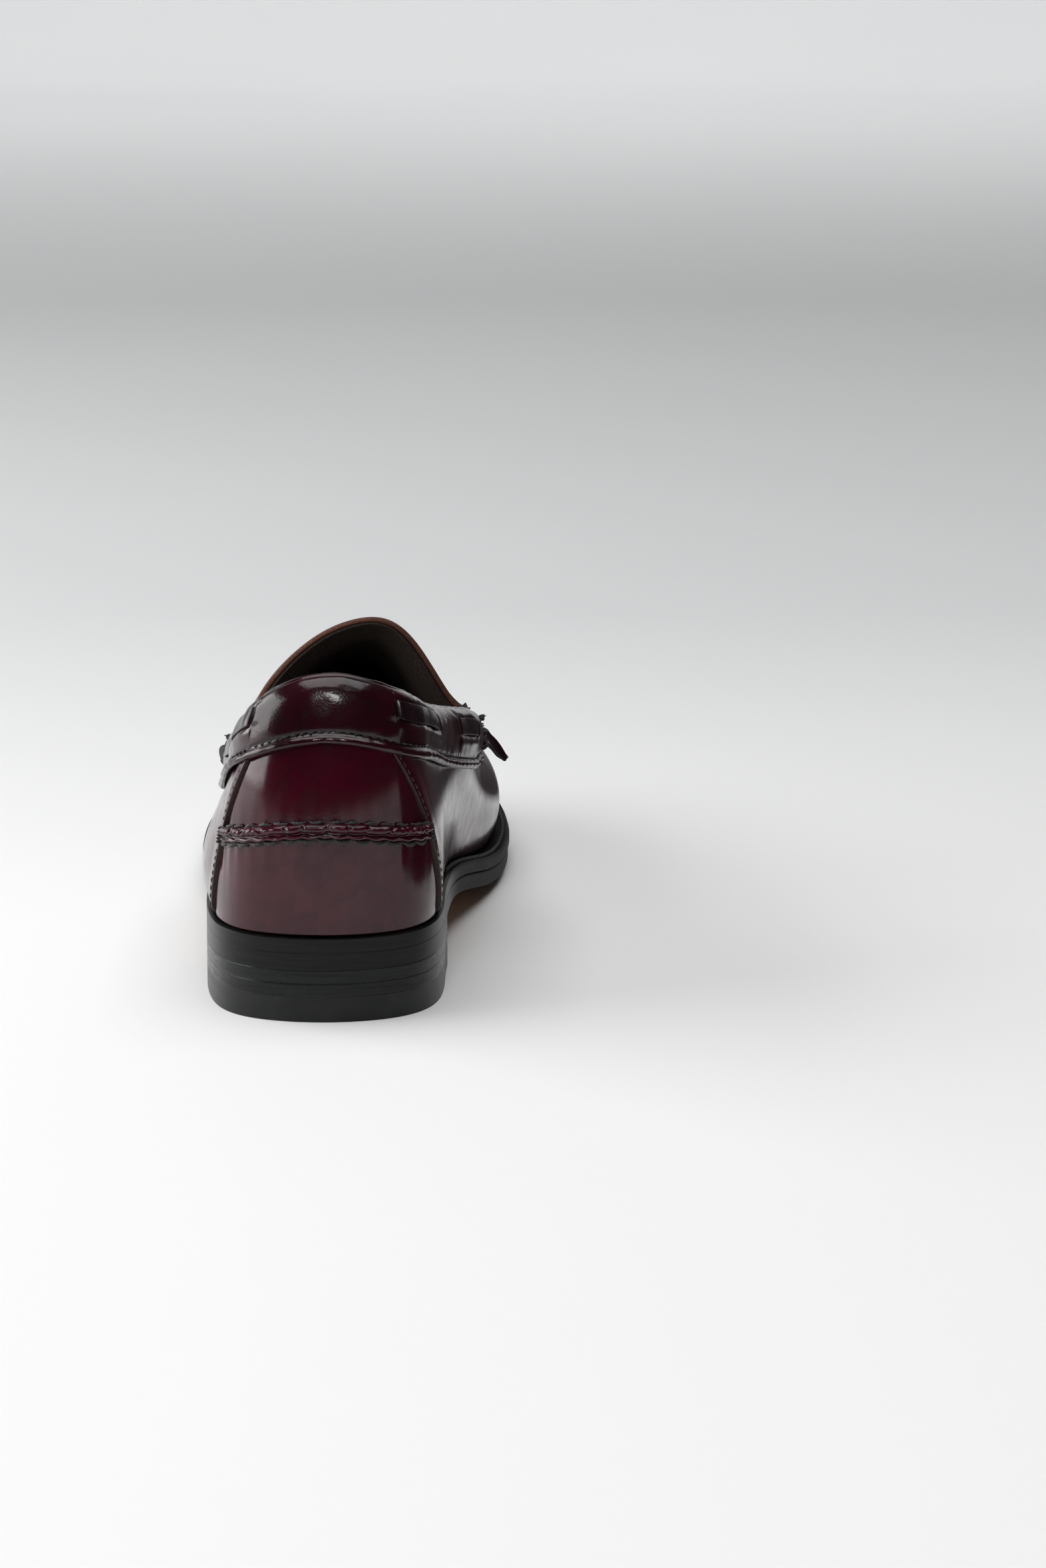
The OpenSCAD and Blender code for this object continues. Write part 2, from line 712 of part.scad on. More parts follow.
module toe_puff() {
    us = steps(7.5, 10.5, 12);
    function face(off) = [for (u = us) [for (y = steps(0.06, 0.8, 5)) skin(u, y, off)]];
    color([0.75, 0.68, 0.55])
        sheet(face(counter_off - puff_t), face(counter_off));
}

module lining() {
    us = steps(0, COUNT - panel_step, 71);
    function top(u) =
        let (d = min(u, mirrored(u)))
        lerp(drop_v(u, 6), 0.8, clamp((d - 3.75) / 0.25, 0, 1));
    function face(off) = [for (u = us) [for (k = steps(0, 1, 6)) wall(u, lerp(0.03, top(u), k), off)]];
    color([0.07, 0.05, 0.06])
        sheet(face(lining_off - lining_t), face(lining_off), loop = true);
}

top_lift();
heel_lift_lower();
heel_lift_upper();
heel_nails();
outsole();
welt();
welt_thread();
cork_filler();
shank();
insole();
sock_lining();
vamp();
apron();
apron_thread();
tongue();
tongue_lining();
saddle_strap();
beefroll_medial();
beefroll_lateral();
beefroll_thread();
collar_band();
collar_padding();
collar_thread();
side_lace();
lace_end_medial();
lace_end_lateral();
heel_panel_lower();
heel_panel_upper();
heel_roll();
heel_roll_thread();
side_seam_thread();
heel_counter();
toe_puff();
lining();
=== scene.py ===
"""Looks of a beefroll penny loafer for the left foot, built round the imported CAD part.

Shapes are drawn in millimetres and turned to metres when a mesh is made. +Z is up, the toe points
to -Y and the inner side of the foot is -X. Every sheet of leather is a grid of points on the last.
"""

import math

import bpy
import numpy as np
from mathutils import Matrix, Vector


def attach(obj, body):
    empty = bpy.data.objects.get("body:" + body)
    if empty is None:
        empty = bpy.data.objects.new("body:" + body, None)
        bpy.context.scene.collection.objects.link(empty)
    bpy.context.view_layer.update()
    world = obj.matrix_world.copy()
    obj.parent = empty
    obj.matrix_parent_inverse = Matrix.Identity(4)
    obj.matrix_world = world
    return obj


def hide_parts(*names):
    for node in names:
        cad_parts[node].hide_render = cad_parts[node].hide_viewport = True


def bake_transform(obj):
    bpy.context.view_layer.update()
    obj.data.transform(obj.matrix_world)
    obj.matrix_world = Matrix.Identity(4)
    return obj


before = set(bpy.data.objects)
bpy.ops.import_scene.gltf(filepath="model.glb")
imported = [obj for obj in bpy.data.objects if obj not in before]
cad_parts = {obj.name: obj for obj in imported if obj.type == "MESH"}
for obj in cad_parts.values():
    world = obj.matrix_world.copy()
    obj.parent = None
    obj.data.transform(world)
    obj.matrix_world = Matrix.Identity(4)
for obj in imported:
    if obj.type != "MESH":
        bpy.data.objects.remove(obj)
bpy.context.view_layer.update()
rng = np.random.default_rng(11)

MM = 0.001
SHOE = "shoe"
UP = np.array([0, 0, 1.0])

# ---------------------------------------------------------------- the last

# Stations round the foot: 0 is the back of the heel, 1 to 8 run up the inner side, 9 is the toe and
# 10 to 17 come back down the outer side. Each holds the distance s forward of the heel and m towards
# the inner side at the sole, the height of the top rail, how far the top rail leans in, and how far
# the wall bulges at one third and two thirds of its height.
STATIONS = np.array([
    [2.5, 0.0, 88.6, 5.5, 1.8, 0.8],
    [8.0, 18.8, 84.2, 5.5, 1.4, 0.2],
    [26.0, 28.2, 79.0, 8.0, 0.2, -3.0],
    [60.0, 29.3, 69.5, 3.1, 0.8, 0.4],
    [98.0, 31.8, 60.6, -3.5, 2.7, 5.1],
    [132.0, 37.0, 51.0, 9.0, 2.8, 1.1],
    [168.0, 41.5, 41.5, 12.5, 2.4, -1.4],
    [207.0, 38.0, 37.5, 12.5, 1.8, -1.6],
    [236.0, 25.4, 35.5, 11.5, 1.6, -1.6],
    [248.0, 4.0, 34.5, 15.0, 1.6, -2.6],
    [236.0, -17.4, 35.5, 11.0, 1.6, -1.6],
    [207.0, -29.8, 37.0, 12.0, 1.6, -1.6],
    [168.0, -33.6, 40.5, 15.3, 0.4, -5.6],
    [132.0, -31.4, 46.4, 12.1, 1.3, -4.1],
    [98.0, -28.3, 54.8, 2.7, -2.0, -0.2],
    [60.0, -30.3, 64.5, 5.6, 2.0, -3.1],
    [26.0, -28.2, 75.4, 8.1, 0.4, -2.4],
    [8.0, -18.8, 83.6, 5.5, 1.4, 0.2],
])
COUNT = len(STATIONS)
TOE = 9
MIDDLE_S, MIDDLE_M = 125.595, 3.986
LENGTH, HEEL, BALL, TOE_SPRING = 250.0, 21.5, 10.2, 8.0
WAIST, TOE_START = (70.0, 155.0), 182.0
WELT_T, OUTSOLE_T, TOP_LIFT_T, SOLE_SAG = 3.6, 4.4, 6.5, 2.2
HEEL_LENGTH, EDGE_AT_HEEL, EDGE_AT_BALL = 60.0, 1.1, 5.0
WELT_IN, WELT_STITCH_IN, BREAST_BOW = 6.0, 1.9, 2.2
UPPER_T = 1.2
COLLAR_LEAN = 2.5
COLLAR_END, STEP_END, PANEL_DROP = 4.07, 4.22, 9.0
SEAM_START, ROLL_AT, BOTTOM_ROW = 1.98, 0.477, 0.012
SEAM_OUTER, SEAM_INNER = (1.98, 1.13, 1.6), (2.0, 1.5, 1.5)
LACE_WIDTH, LACE_T, LACE_DROP, LACE_OUT, LACE_IN = 4.6, 1.0, 5.4, 2.6, -0.35
SLITS_INNER, SLITS_OUTER = (0.9, 2.55, 3.15, 3.65), (1.1, 2.42, 3.05, 3.6)
ROLL_U, ROLL_OUT, ROLL_RADIUS = 4.24, 1.95, 1.45


def lerp(a, b, t):
    return a + (b - a) * t


def ease(low, high, x):
    t = np.clip((np.asarray(x, float) - low) / (high - low), 0, 1)
    return t * t * (3 - 2 * t)


def hump(x, width):
    return np.exp(-((x / width) ** 2))


def join(*parts, axis=0):
    return np.concatenate(parts, axis)


def unit(vectors):
    return vectors / np.maximum(np.linalg.norm(vectors, axis=-1, keepdims=True), 1e-9)


def outward(points, nearby):
    """Unit vectors from nearby points to points."""
    return unit(points - nearby)


def run_along(path):
    """Distance of each point of a path from its first point, in mm."""
    return join([0], np.cumsum(np.linalg.norm(np.diff(path, axis=0), axis=1)))


def closed_spline(table):
    """Second derivatives of the smooth closed curve through the rows of a table."""
    n = len(table)
    m = 4 * np.eye(n) + np.roll(np.eye(n), 1, 0) + np.roll(np.eye(n), -1, 0)
    return np.linalg.solve(m, 6 * (np.roll(table, -1, 0) - 2 * table + np.roll(table, 1, 0)))


BENDS = closed_spline(STATIONS)


def stations(u):
    """The station row at any place u round the foot, and how fast it changes with u."""
    u = np.asarray(u, float) % COUNT
    i = np.floor(u).astype(int) % COUNT
    j = (i + 1) % COUNT
    t = (u - np.floor(u))[..., None]
    a, b = STATIONS[i] - BENDS[i] / 6, STATIONS[j] - BENDS[j] / 6
    row = BENDS[i] * (1 - t) ** 3 / 6 + BENDS[j] * t**3 / 6 + a * (1 - t) + b * t
    slope = -BENDS[i] * (1 - t) ** 2 / 2 + BENDS[j] * t**2 / 2 - a + b
    return row, slope


def seat(s):
    rise = TOE_SPRING * np.clip((s - TOE_START) / (LENGTH - TOE_START), 0, 2) ** 2
    return HEEL - (HEEL - BALL) * ease(*WAIST, s) + rise


def wall(u, v, off=0.0):
    """A point at u round the foot and v up the wall of the last, moved out by off."""
    u, v, off = np.broadcast_arrays(np.asarray(u, float), v, off)
    r, d = stations(u)
    n = unit(np.stack([-d[..., 1], d[..., 0]], -1))
    t = 3 * v
    k = r[..., 4] * t * (t - 2) * (t - 3) / 2 - r[..., 5] * t * (t - 1) * (t - 3) / 2
    k = k - r[..., 3] * t * (t - 1) * (t - 2) / 6 + off
    lean = COLLAR_LEAN * v * (1 - ease(60, 130, r[..., 0]))
    low = seat(r[..., 0])
    s = r[..., 0] + n[..., 0] * k
    m = r[..., 1] + n[..., 1] * k + lean
    return np.stack([MIDDLE_M - m, MIDDLE_S - s, lerp(low, r[..., 2], v)], -1)


def wall_height(u):
    r = stations(u)[0]
    return r[..., 2] - seat(r[..., 0])


def reach(u, mm):
    """The change of u that moves mm along the outline."""
    return mm / np.linalg.norm(stations(u)[1][..., :2], axis=-1)


def from_heel(u):
    """How far u lies from the back of the heel, counted either way round."""
    u = np.asarray(u, float) % COUNT
    return np.minimum(u, COUNT - u)


def panel_top(u):
    step = np.clip((from_heel(u) - COLLAR_END) / (STEP_END - COLLAR_END), 0, 1)
    return 1 - lerp(PANEL_DROP, 0, step) / wall_height(u)


def skin(u, y, off=0.0):
    """A point of the upper, with y from 0 at the sole to 1 at the top of the panels."""
    return wall(u, lerp(BOTTOM_ROW, panel_top(u), y), off)


def below_rail(u, drop, off=0.0):
    return wall(u, 1 - drop / wall_height(u), off)


def seam_u(y, inner):
    """Where a side seam lies at a share y of the panel height, as a distance from the heel."""
    low, rise, bend = (np.where(inner, a, b) for a, b in zip(SEAM_INNER, SEAM_OUTER))
    return low - rise * np.clip(y, 0, 1) ** bend


def edge_out(s):
    """How far the sole edge stands out at a distance s from the heel."""
    return lerp(EDGE_AT_HEEL, EDGE_AT_BALL, ease(45, 130, s))


def sole_point(u, off, rise):
    """A point of the sole outline, moved out by off from the feather line and rise above the seat."""
    p = wall(u, 0.0, off)
    p[..., 2] = seat(MIDDLE_S - p[..., 1]) + rise
    return p


CROWNS = np.array([29, 17.5, 10.5, 6.6, 3.6, 0.5])
CROWN_START = 4.15


def crown(a):
    """How high the front of the upper rises between its two rails."""
    x = np.clip(np.asarray(a, float) - CROWN_START, 0, TOE - CROWN_START)
    i = np.minimum(np.floor(x), 4).astype(int)
    t = x - i
    padded = np.concatenate([[2 * CROWNS[0] - CROWNS[1] + 3], CROWNS, [-1.5]])
    p0, p1, p2, p3 = (padded[i + k] for k in range(4))
    bend = (2 * p0 - 5 * p1 + 4 * p2 - p3) * t**2 + (3 * p1 - p0 - 3 * p2 + p3) * t**3
    return 0.5 * (2 * p1 + (p2 - p0) * t + bend)


def patch(a, t, inset=0.0):
    """A point between the rails: a runs from the arch to the toe, t across from the inner side."""
    a, t = np.broadcast_arrays(np.asarray(a, float), t)
    p, q = wall(a, 1.0, -inset), wall(COUNT - a, 1.0, -inset)
    w = ease(4.2, 5.6, a)
    k = np.clip(np.sin(np.pi * t), 0, 1)
    power = lerp(1.3 - 0.7 * ease(0, 0.65, t), 0.95, w)
    shift = np.stack([-lerp(2.8, 1, w) * k, lerp(4, 0, w) * k, crown(a) * k**power], -1)
    return lerp(p, q, t[..., None]) + shift


def saddle(a, q):
    """The surface that runs up the inner wall, over the patch and down the outer wall, q from -1 to 1."""
    a, q = np.broadcast_arrays(np.asarray(a, float), q)
    inner = wall(a, np.clip(2 * (q + 1), 0, 1))
    outer = wall(COUNT - a, np.clip(2 * (1 - q), 0, 1))
    middle = patch(a, np.clip(q + 0.5, 0, 1))
    return np.where((q < -0.5)[..., None], inner, np.where((q > 0.5)[..., None], outer, middle))


# ---------------------------------------------------------------- mesh building


class Shape:
    """Collects points and faces, and makes one mesh of them."""

    def __init__(self):
        self.points, self.quads, self.triangles, self.raw, self.dark = [], [], [], [], []
        self.count = 0

    def add(self, points, quads=(), triangles=(), raw=0.0, dark=0.0):
        points = np.asarray(points, float).reshape(-1, 3)
        self.points.append(points)
        self.quads.append(np.asarray(quads, int).reshape(-1, 4) + self.count)
        self.triangles.append(np.asarray(triangles, int).reshape(-1, 3) + self.count)
        self.raw.append(np.broadcast_to(np.ravel(raw), len(points)))
        self.dark.append(np.broadcast_to(np.ravel(dark), len(points)))
        self.count += len(points)

    def build(self, name, material, nodes, slot=None, body=SHOE, weld=0.0):
        """Makes the piece. The slot argument is not used."""
        quads, triangles = np.concatenate(self.quads), np.concatenate(self.triangles)
        points = np.concatenate(self.points) * MM
        mesh = bpy.data.meshes.new(name)
        mesh.vertices.add(len(points))
        mesh.vertices.foreach_set("co", points.astype(np.float32).ravel())
        corners = join(quads.ravel(), triangles.ravel())
        sizes = join(np.full(len(quads), 4), np.full(len(triangles), 3))
        mesh.loops.add(len(corners))
        mesh.loops.foreach_set("vertex_index", corners.astype(np.int32))
        mesh.polygons.add(len(sizes))
        starts = join([0], np.cumsum(sizes)[:-1])
        mesh.polygons.foreach_set("loop_start", starts.astype(np.int32))
        # Point attributes: raw marks cut edges. dark carries painted shade on the leather and marks matt wax
        # on the sole.
        for key, parts in (("raw", self.raw), ("dark", self.dark)):
            layer = mesh.attributes.new(key, "FLOAT", "POINT")
            layer.data.foreach_set("value", np.concatenate(parts).astype(np.float32))
        mesh.update(calc_edges=True)
        mesh.validate()
        mesh.polygons.foreach_set("use_smooth", np.full(len(mesh.polygons), True))
        mesh.materials.append(material)
        piece = bpy.data.objects.new(name, mesh)
        bpy.context.scene.collection.objects.link(piece)
        if weld:
            merge = piece.modifiers.new("weld", "WELD")
            merge.merge_threshold = weld * MM
        if body:
            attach(piece, body)
        slot or material.name.split(".")[0]
        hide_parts(*nodes)
        return piece


def grid_faces(rows, cols, loop=False, wrap=False):
    """Quads of a grid of points. loop joins the last row to the first, wrap the last column."""
    i = np.arange(rows if loop else rows - 1)[:, None]
    j = np.arange(cols if wrap else cols - 1)[None, :]
    i2, j2 = (i + 1) % rows, (j + 1) % cols
    return np.stack([i * cols + j, i2 * cols + j, i2 * cols + j2, i * cols + j2], -1)


def end_fans(rows, cols):
    """Triangles that close a wrapped grid with two points added after it, one for each end."""
    order, tip, last = np.arange(cols), np.full(cols, rows * cols), (rows - 1) * cols
    after = (order + 1) % cols
    start = np.stack([tip, after, order], -1)
    end = np.stack([tip + 1, order + last, after + last], -1)
    return join(start, end)[:, ::-1]


def capped_faces(rows, cols):
    """Faces of a hollow section swept along rows. Its first half runs out and its second half back."""
    order = np.arange(cols // 2 - 1)
    cap = np.stack([order, order + 1, cols - 2 - order, cols - 1 - order], -1)
    sides = grid_faces(rows, cols, wrap=True).reshape(-1, 4)
    return join(sides, cap[:, ::-1], cap + cols * (rows - 1))


def normals(grid, loop=False):
    if loop:
        du = np.roll(grid, -1, 0) - np.roll(grid, 1, 0)
    else:
        du = np.gradient(grid, axis=0)
    return unit(np.cross(du, np.gradient(grid, axis=1)))


def at(place, places, rows):
    """The row of a table at a place between its places."""
    return np.array([np.interp(place, places, column) for column in rows.T])


def along_rows(grid):
    """Distance of each point from the first row of its grid, in mm."""
    step = np.linalg.norm(np.diff(grid, axis=0), axis=-1)
    return join(np.zeros((1, grid.shape[1])), np.cumsum(step, 0))


def along_cols(grid):
    return along_rows(grid.swapaxes(0, 1)).T


def edge_distance(grid, loop=False):
    """Distance of each point of a grid from its nearest border, in mm."""
    b = along_cols(grid)
    near = np.minimum(b, b[:, -1:] - b)
    if not loop:
        a = along_rows(grid)
        near = np.minimum(near, np.minimum(a, a[-1:] - a))
    return near


def sheet(shape, grid, thickness, lift=0.0, edge=0.4, loop=False, side=1, closed=None, dark=0.0):
    """Adds a sheet of leather whose outer face follows grid. Its cut edges are rounded by edge."""
    n = normals(grid, loop) * side
    near = edge_distance(grid, loop)
    gap = edge - np.minimum(near, edge)
    fall = edge - np.sqrt(np.maximum(edge**2 - gap**2, 0))
    lift = np.broadcast_to(lift, fall.shape)
    outer = grid + n * (lift - fall)[..., None]
    inner = grid - n * (thickness - np.minimum(lift, 0) - 0.5 * fall)[..., None]
    rows, cols = grid.shape[:2]
    cells = grid_faces(rows, cols, loop)
    keep = np.ones(cells.shape[:2], bool) if closed is None else closed
    top = cells[keep]
    base = rows * cols
    under = top[:, ::-1] + base
    walls = []
    # Each side of a cell that has no neighbour there gets a wall between the two faces of the sheet.
    for axis, step, a, b in ((1, 1, 1, 0), (1, -1, 3, 2), (0, 1, 0, 3), (0, -1, 2, 1)):
        other = np.roll(keep, step, axis)
        if axis == 1:
            other[:, 0 if step > 0 else -1] = False
        elif not loop:
            other[0 if step > 0 else -1] = False
        border = cells[keep & ~other]
        walls.append(np.stack([border[:, a], border[:, b], border[:, b] + base, border[:, a] + base], -1))
    faces = join(top, under, *walls)
    if side < 0:
        faces = faces[:, ::-1]
    raw = join((1 - ease(0, 0.45 * edge, near)).ravel(), np.ones(base))
    # The outer face carries the dark values, which are painted shade. The inner face gets none.
    shade = join(np.broadcast_to(dark, fall.shape).ravel(), np.zeros(base))
    shape.add(join(outer, inner), faces, raw=raw, dark=shade)
    return outer


def sheet_piece(name, node, material, grid, thickness, slot=None, **look):
    """Makes a piece of a single sheet of leather."""
    shape = Shape()
    outer = sheet(shape, grid, thickness, **look)
    shape.build(name, material, [node], slot)
    return outer


def round_points(centre, radius, angle, a, b):
    """Points at a radius and an angle round a centre, in the plane of a and b."""
    return centre + np.outer(radius * np.cos(angle), a) + np.outer(radius * np.sin(angle), b)


def tube(shape, path, radius, sides=8, twist=0.0):
    """Adds a round cord along a path with rounded ends. A twist, in turns per mm, makes it two-ply."""
    path = np.asarray(path, float)
    radius = np.broadcast_to(np.asarray(radius, float), len(path))
    tangent = unit(np.gradient(path, axis=0))
    up = np.cross(tangent[0], [0.3, 0.5, 0.8])
    frames = []
    for t in tangent:
        up = unit(up - t * np.dot(up, t))
        frames.append((up, np.cross(t, up)))
    run = run_along(path)
    phi = np.linspace(0, 2 * np.pi, sides, endpoint=False)
    ply = 0.2 if twist else 0.0
    rings = []
    for k, (a, b) in enumerate(frames):
        r = radius[k] * (1 + ply * np.cos(2 * (phi - 2 * np.pi * twist * run[k])))
        rings.append(round_points(path[k], r, phi, a, b))
    tips = [path[0] - tangent[0] * radius[0] * 0.6, path[-1] + tangent[-1] * radius[-1] * 0.6]
    n = len(path)
    shape.add(join(*rings, tips), grid_faces(n, sides, wrap=True)[..., ::-1], end_fans(n, sides))


def stitch(shape, a, b, up, radius=0.3, rise=0.35, sink=0.7, points=9, twist=0.5):
    """Adds one stitch from a to b that dives into the leather at both ends."""
    t = np.linspace(0, 1, points)
    height = -sink + (rise + sink) * np.sin(np.pi * t) ** 0.55
    path = lerp(a, b, t[:, None]) + np.asarray(up) * height[:, None]
    tube(shape, path, radius * (0.8 + 0.3 * np.sin(np.pi * t)), twist=twist)


def stitch_row(shape, surface, low, high, pitch, share, jitter=0.0, **look):
    """Adds stitches along surface(u, off) from low to high, each share of the pitch long."""
    marks = even(lambda u: surface(u, 0.0), low, high, pitch)
    step = np.abs(np.gradient(marks)) * share / 2
    for u, d in zip(marks, step):
        d = d * (1 + jitter * rng.uniform(-1, 1))
        a, b = surface(np.array([u - d, u + d]), 0.0)
        up = outward(surface(np.array([u]), 1.0), surface(np.array([u]), 0.0))[0]
        wobble = jitter * 0.4 * rng.normal(size=3)
        stitch(shape, a + wobble, b - wobble, up, **look)


def fuzz(shape, points, ups, length, radius=0.05):
    """Adds loose fibres that curl away from points."""
    for p, up in zip(points, ups):
        side = rng.normal(size=3)
        size = length * rng.uniform(0.4, 1.2)
        t = np.linspace(0, 1, 5)[:, None]
        path = p + up * t * size * 0.7 + side * t**2 * size * 0.5
        tube(shape, path, radius * (1.1 - t[:, 0] * 0.8), sides=4)


def even(curve, low, high, pitch, middles=True):
    """Parameters that cut a curve into equal steps of about pitch: their middles, or their ends."""
    u = np.linspace(low, high, 1500)
    run = run_along(curve(u))
    n = max(1, int(round(run[-1] / pitch)))
    marks = (np.arange(n) + 0.5) / n if middles else np.linspace(0, 1, n + 1)
    return np.interp(marks * run[-1], run, u)


def lines(curve, low, high, step, edge=0.4):
    """Grid lines about step apart along a curve, and closer together within edge of its two ends."""
    u = np.linspace(low, high, 1500)
    run = run_along(curve(u))
    total = run[-1]
    marks = np.linspace(edge * 1.6, total - edge * 1.6, max(3, int(round(total / step))))
    close = edge * np.array([0, 0.08, 0.28, 0.6, 1.0])
    return np.interp(join(close, marks, total - close[::-1]), run, u)


def smooth_curve(points, count):
    """An open Catmull-Rom curve through points."""
    points = np.asarray(points, float)
    p = np.concatenate([[2 * points[0] - points[1]], points, [2 * points[-1] - points[-2]]])
    x = np.linspace(0, len(points) - 1, count)
    i = np.minimum(np.floor(x).astype(int), len(points) - 2)
    t = (x - i)[:, None]
    a, b, c, d = (p[i + k] for k in range(4))
    return 0.5 * (2 * b + (c - a) * t + (2 * a - 5 * b + 4 * c - d) * t**2 + (3 * b - a - 3 * c + d) * t**3)


def ripple(grid, size, seed):
    """Soft random waves of about a given size over a grid of points, from -1 to 1."""
    local = np.random.default_rng(seed)
    total = np.zeros(grid.shape[:2])
    for _ in range(9):
        k = local.normal(size=3)
        k *= 2 * np.pi / (size * local.uniform(0.7, 1.5) * np.linalg.norm(k))
        total += np.sin(grid @ k + local.uniform(0, 2 * np.pi))
    return total / 5


# ---------------------------------------------------------------- materials


def dim(colour, share, more=0.0):
    return tuple(c * share + more for c in colour)


class Nodes:
    """A small helper that writes the nodes of a material or a world."""

    def __init__(self, tree, place):
        self.tree = tree
        self.place = self.node("ShaderNodeTexCoord").outputs[place]

    def node(self, kind, inputs=None, **settings):
        n = self.tree.nodes.new(kind)
        for key, value in settings.items():
            setattr(n, key, value)
        for key, value in (inputs or {}).items():
            self.wire(n.inputs[key], value)
        return n

    def wire(self, socket, value):
        if isinstance(value, bpy.types.NodeSocket):
            self.tree.links.new(value, socket)
        else:
            socket.default_value = value

    def noise(self, scale, detail=3.0, rough=0.55, stretch=None, distortion=0.0):
        place = self.place
        if stretch:
            place = self.node("ShaderNodeMapping", {"Vector": place, "Scale": stretch}).outputs[0]
        values = {"Vector": place, "Scale": scale, "Detail": detail, "Roughness": rough}
        values["Distortion"] = distortion
        return self.node("ShaderNodeTexNoise", values).outputs["Fac"]

    def cells(self, scale, feature="DISTANCE_TO_EDGE"):
        n = self.node("ShaderNodeTexVoronoi", {"Vector": self.place, "Scale": scale}, feature=feature)
        return n.outputs["Distance"]

    def math(self, kind, a, b=0.0):
        return self.node("ShaderNodeMath", {0: a, 1: b}, operation=kind).outputs[0]

    def remap(self, value, low, high, to_low=0.0, to_high=1.0, **settings):
        values = {"Value": value, "From Min": low, "From Max": high, "To Min": to_low, "To Max": to_high}
        return self.node("ShaderNodeMapRange", values, **settings).outputs[0]

    def mix(self, share, a, b):
        n = self.node("ShaderNodeMix", data_type="RGBA")
        self.wire(n.inputs["Factor"], share)
        for socket, value in ((n.inputs[6], a), (n.inputs[7], b)):
            self.wire(socket, value if isinstance(value, bpy.types.NodeSocket) else (*value, 1))
        return n.outputs[2]

    def split(self):
        return self.node("ShaderNodeSeparateXYZ", {0: self.place}).outputs

    def camera_ray(self):
        return self.node("ShaderNodeLightPath").outputs["Is Camera Ray"]


class Finish(Nodes):
    """Writes a material round Blender's standard surface."""

    def __init__(self, name):
        self.material = bpy.data.materials.new(name)
        self.material.use_nodes = True
        super().__init__(self.material.node_tree, "Object")
        self.shader = self.tree.nodes["Principled BSDF"]

    def attribute(self, name):
        return self.node("ShaderNodeAttribute", attribute_name=name).outputs["Fac"]

    def bumps(self, *layers):
        """Each layer is a height, its strength and its depth in mm."""
        normal = None
        for height, strength, depth in layers:
            n = self.node("ShaderNodeBump", {"Height": height, "Strength": strength, "Distance": depth * MM})
            if normal:
                self.wire(n.inputs["Normal"], normal)
            normal = n.outputs[0]
        self.wire(self.shader.inputs["Normal"], normal)

    def set(self, **values):
        for key, value in values.items():
            socket = self.shader.inputs[key.replace("_", " ")]
            if isinstance(value, tuple) and len(value) == 3:
                value = (*value, 1)
            self.wire(socket, value)
        return self.material


def grain_leather(
    name, colour, deep, rough=0.16, coat=0.25, raw=(0.055, 0.042, 0.036), grain=0.03, mirror=0.35
):
    """Polished grain leather with pores, cloudy dye, a waxy coat, a fibrous cut edge, and painted shade
    where the dark attribute is set.
    """
    f = Finish(name)
    clouds = f.noise(42.0, 5.0, 0.6)
    blots = f.noise(150.0, 4.0, 0.65, distortion=0.6)
    share = f.math("ADD", f.math("MULTIPLY", clouds, 0.6), f.math("MULTIPLY", blots, 0.4))
    tone = f.mix(f.remap(share, 0.40, 0.60), colour, deep)
    # Painted shade: where the dark attribute is set, the colour darkens towards a near-black tone.
    tone = f.mix(f.math("MULTIPLY", f.attribute("dark"), 0.85), tone, dim(deep, 0.3))
    fibre = f.noise(2600.0, 3.0, 0.7)
    torn = f.mix(f.remap(fibre, 0.35, 0.65), dim(raw, 0.35), raw)
    cut = f.attribute("raw")
    pores = f.cells(950.0)
    cracks = f.remap(f.cells(170.0), 0.0, 0.045)
    broad = f.noise(200.0, 3.0)
    f.bumps(
        (broad, 0.035, 0.3),
        (cracks, 0.015, 0.03),
        (f.remap(pores, 0.0, 0.28), grain, 0.10),
        (f.math("MULTIPLY", fibre, cut), 0.8, 0.25),
    )
    shine = f.remap(blots, 0.35, 0.65, rough - 0.05, rough + 0.07)
    shine = f.math("ADD", shine, f.math("MULTIPLY", cut, 0.45))
    wax = f.math("MULTIPLY", f.math("SUBTRACT", 1.0, cut), f.remap(share, 0.4, 0.6, coat, coat * 0.55))
    f.set(Base_Color=f.mix(cut, tone, torn), Roughness=shine, Coat_Weight=wax)
    return f.set(Coat_Roughness=f.remap(broad, 0.3, 0.7, 0.06, 0.16), Specular_IOR_Level=mirror)


def waxed_thread(name, colour):
    f = Finish(name)
    fibre = f.noise(5200.0, 3.0, 0.7)
    tone = f.mix(f.remap(fibre, 0.4, 0.7), dim(colour, 0.5), colour)
    f.bumps((fibre, 0.7, 0.12), (f.noise(1400.0, 2.0), 0.4, 0.15))
    return f.set(Base_Color=tone, Roughness=f.remap(fibre, 0.3, 0.7, 0.42, 0.7), Sheen_Weight=0.15)


def stacked_leather(name, colour):
    """Inked and waxed layers of leather, seen as fine level lines."""
    f = Finish(name)
    layers = f.noise(48.0, 6.0, 0.66, stretch=(1, 1, 26), distortion=0.5)
    scuffs = f.noise(300.0, 3.0, 0.6, stretch=(1, 1, 6))
    tone = f.mix(f.remap(layers, 0.4, 0.72), colour, dim(colour, 2.2, 0.002))
    f.bumps((layers, 0.42, 0.16), (scuffs, 0.16, 0.06), (f.noise(90.0, 2.0), 0.12, 0.5))
    shine = f.remap(scuffs, 0.3, 0.7, 0.2, 0.36)
    return f.set(
        Base_Color=tone, Roughness=shine, Coat_Weight=0.08, Coat_Roughness=0.12, Specular_IOR_Level=0.2
    )


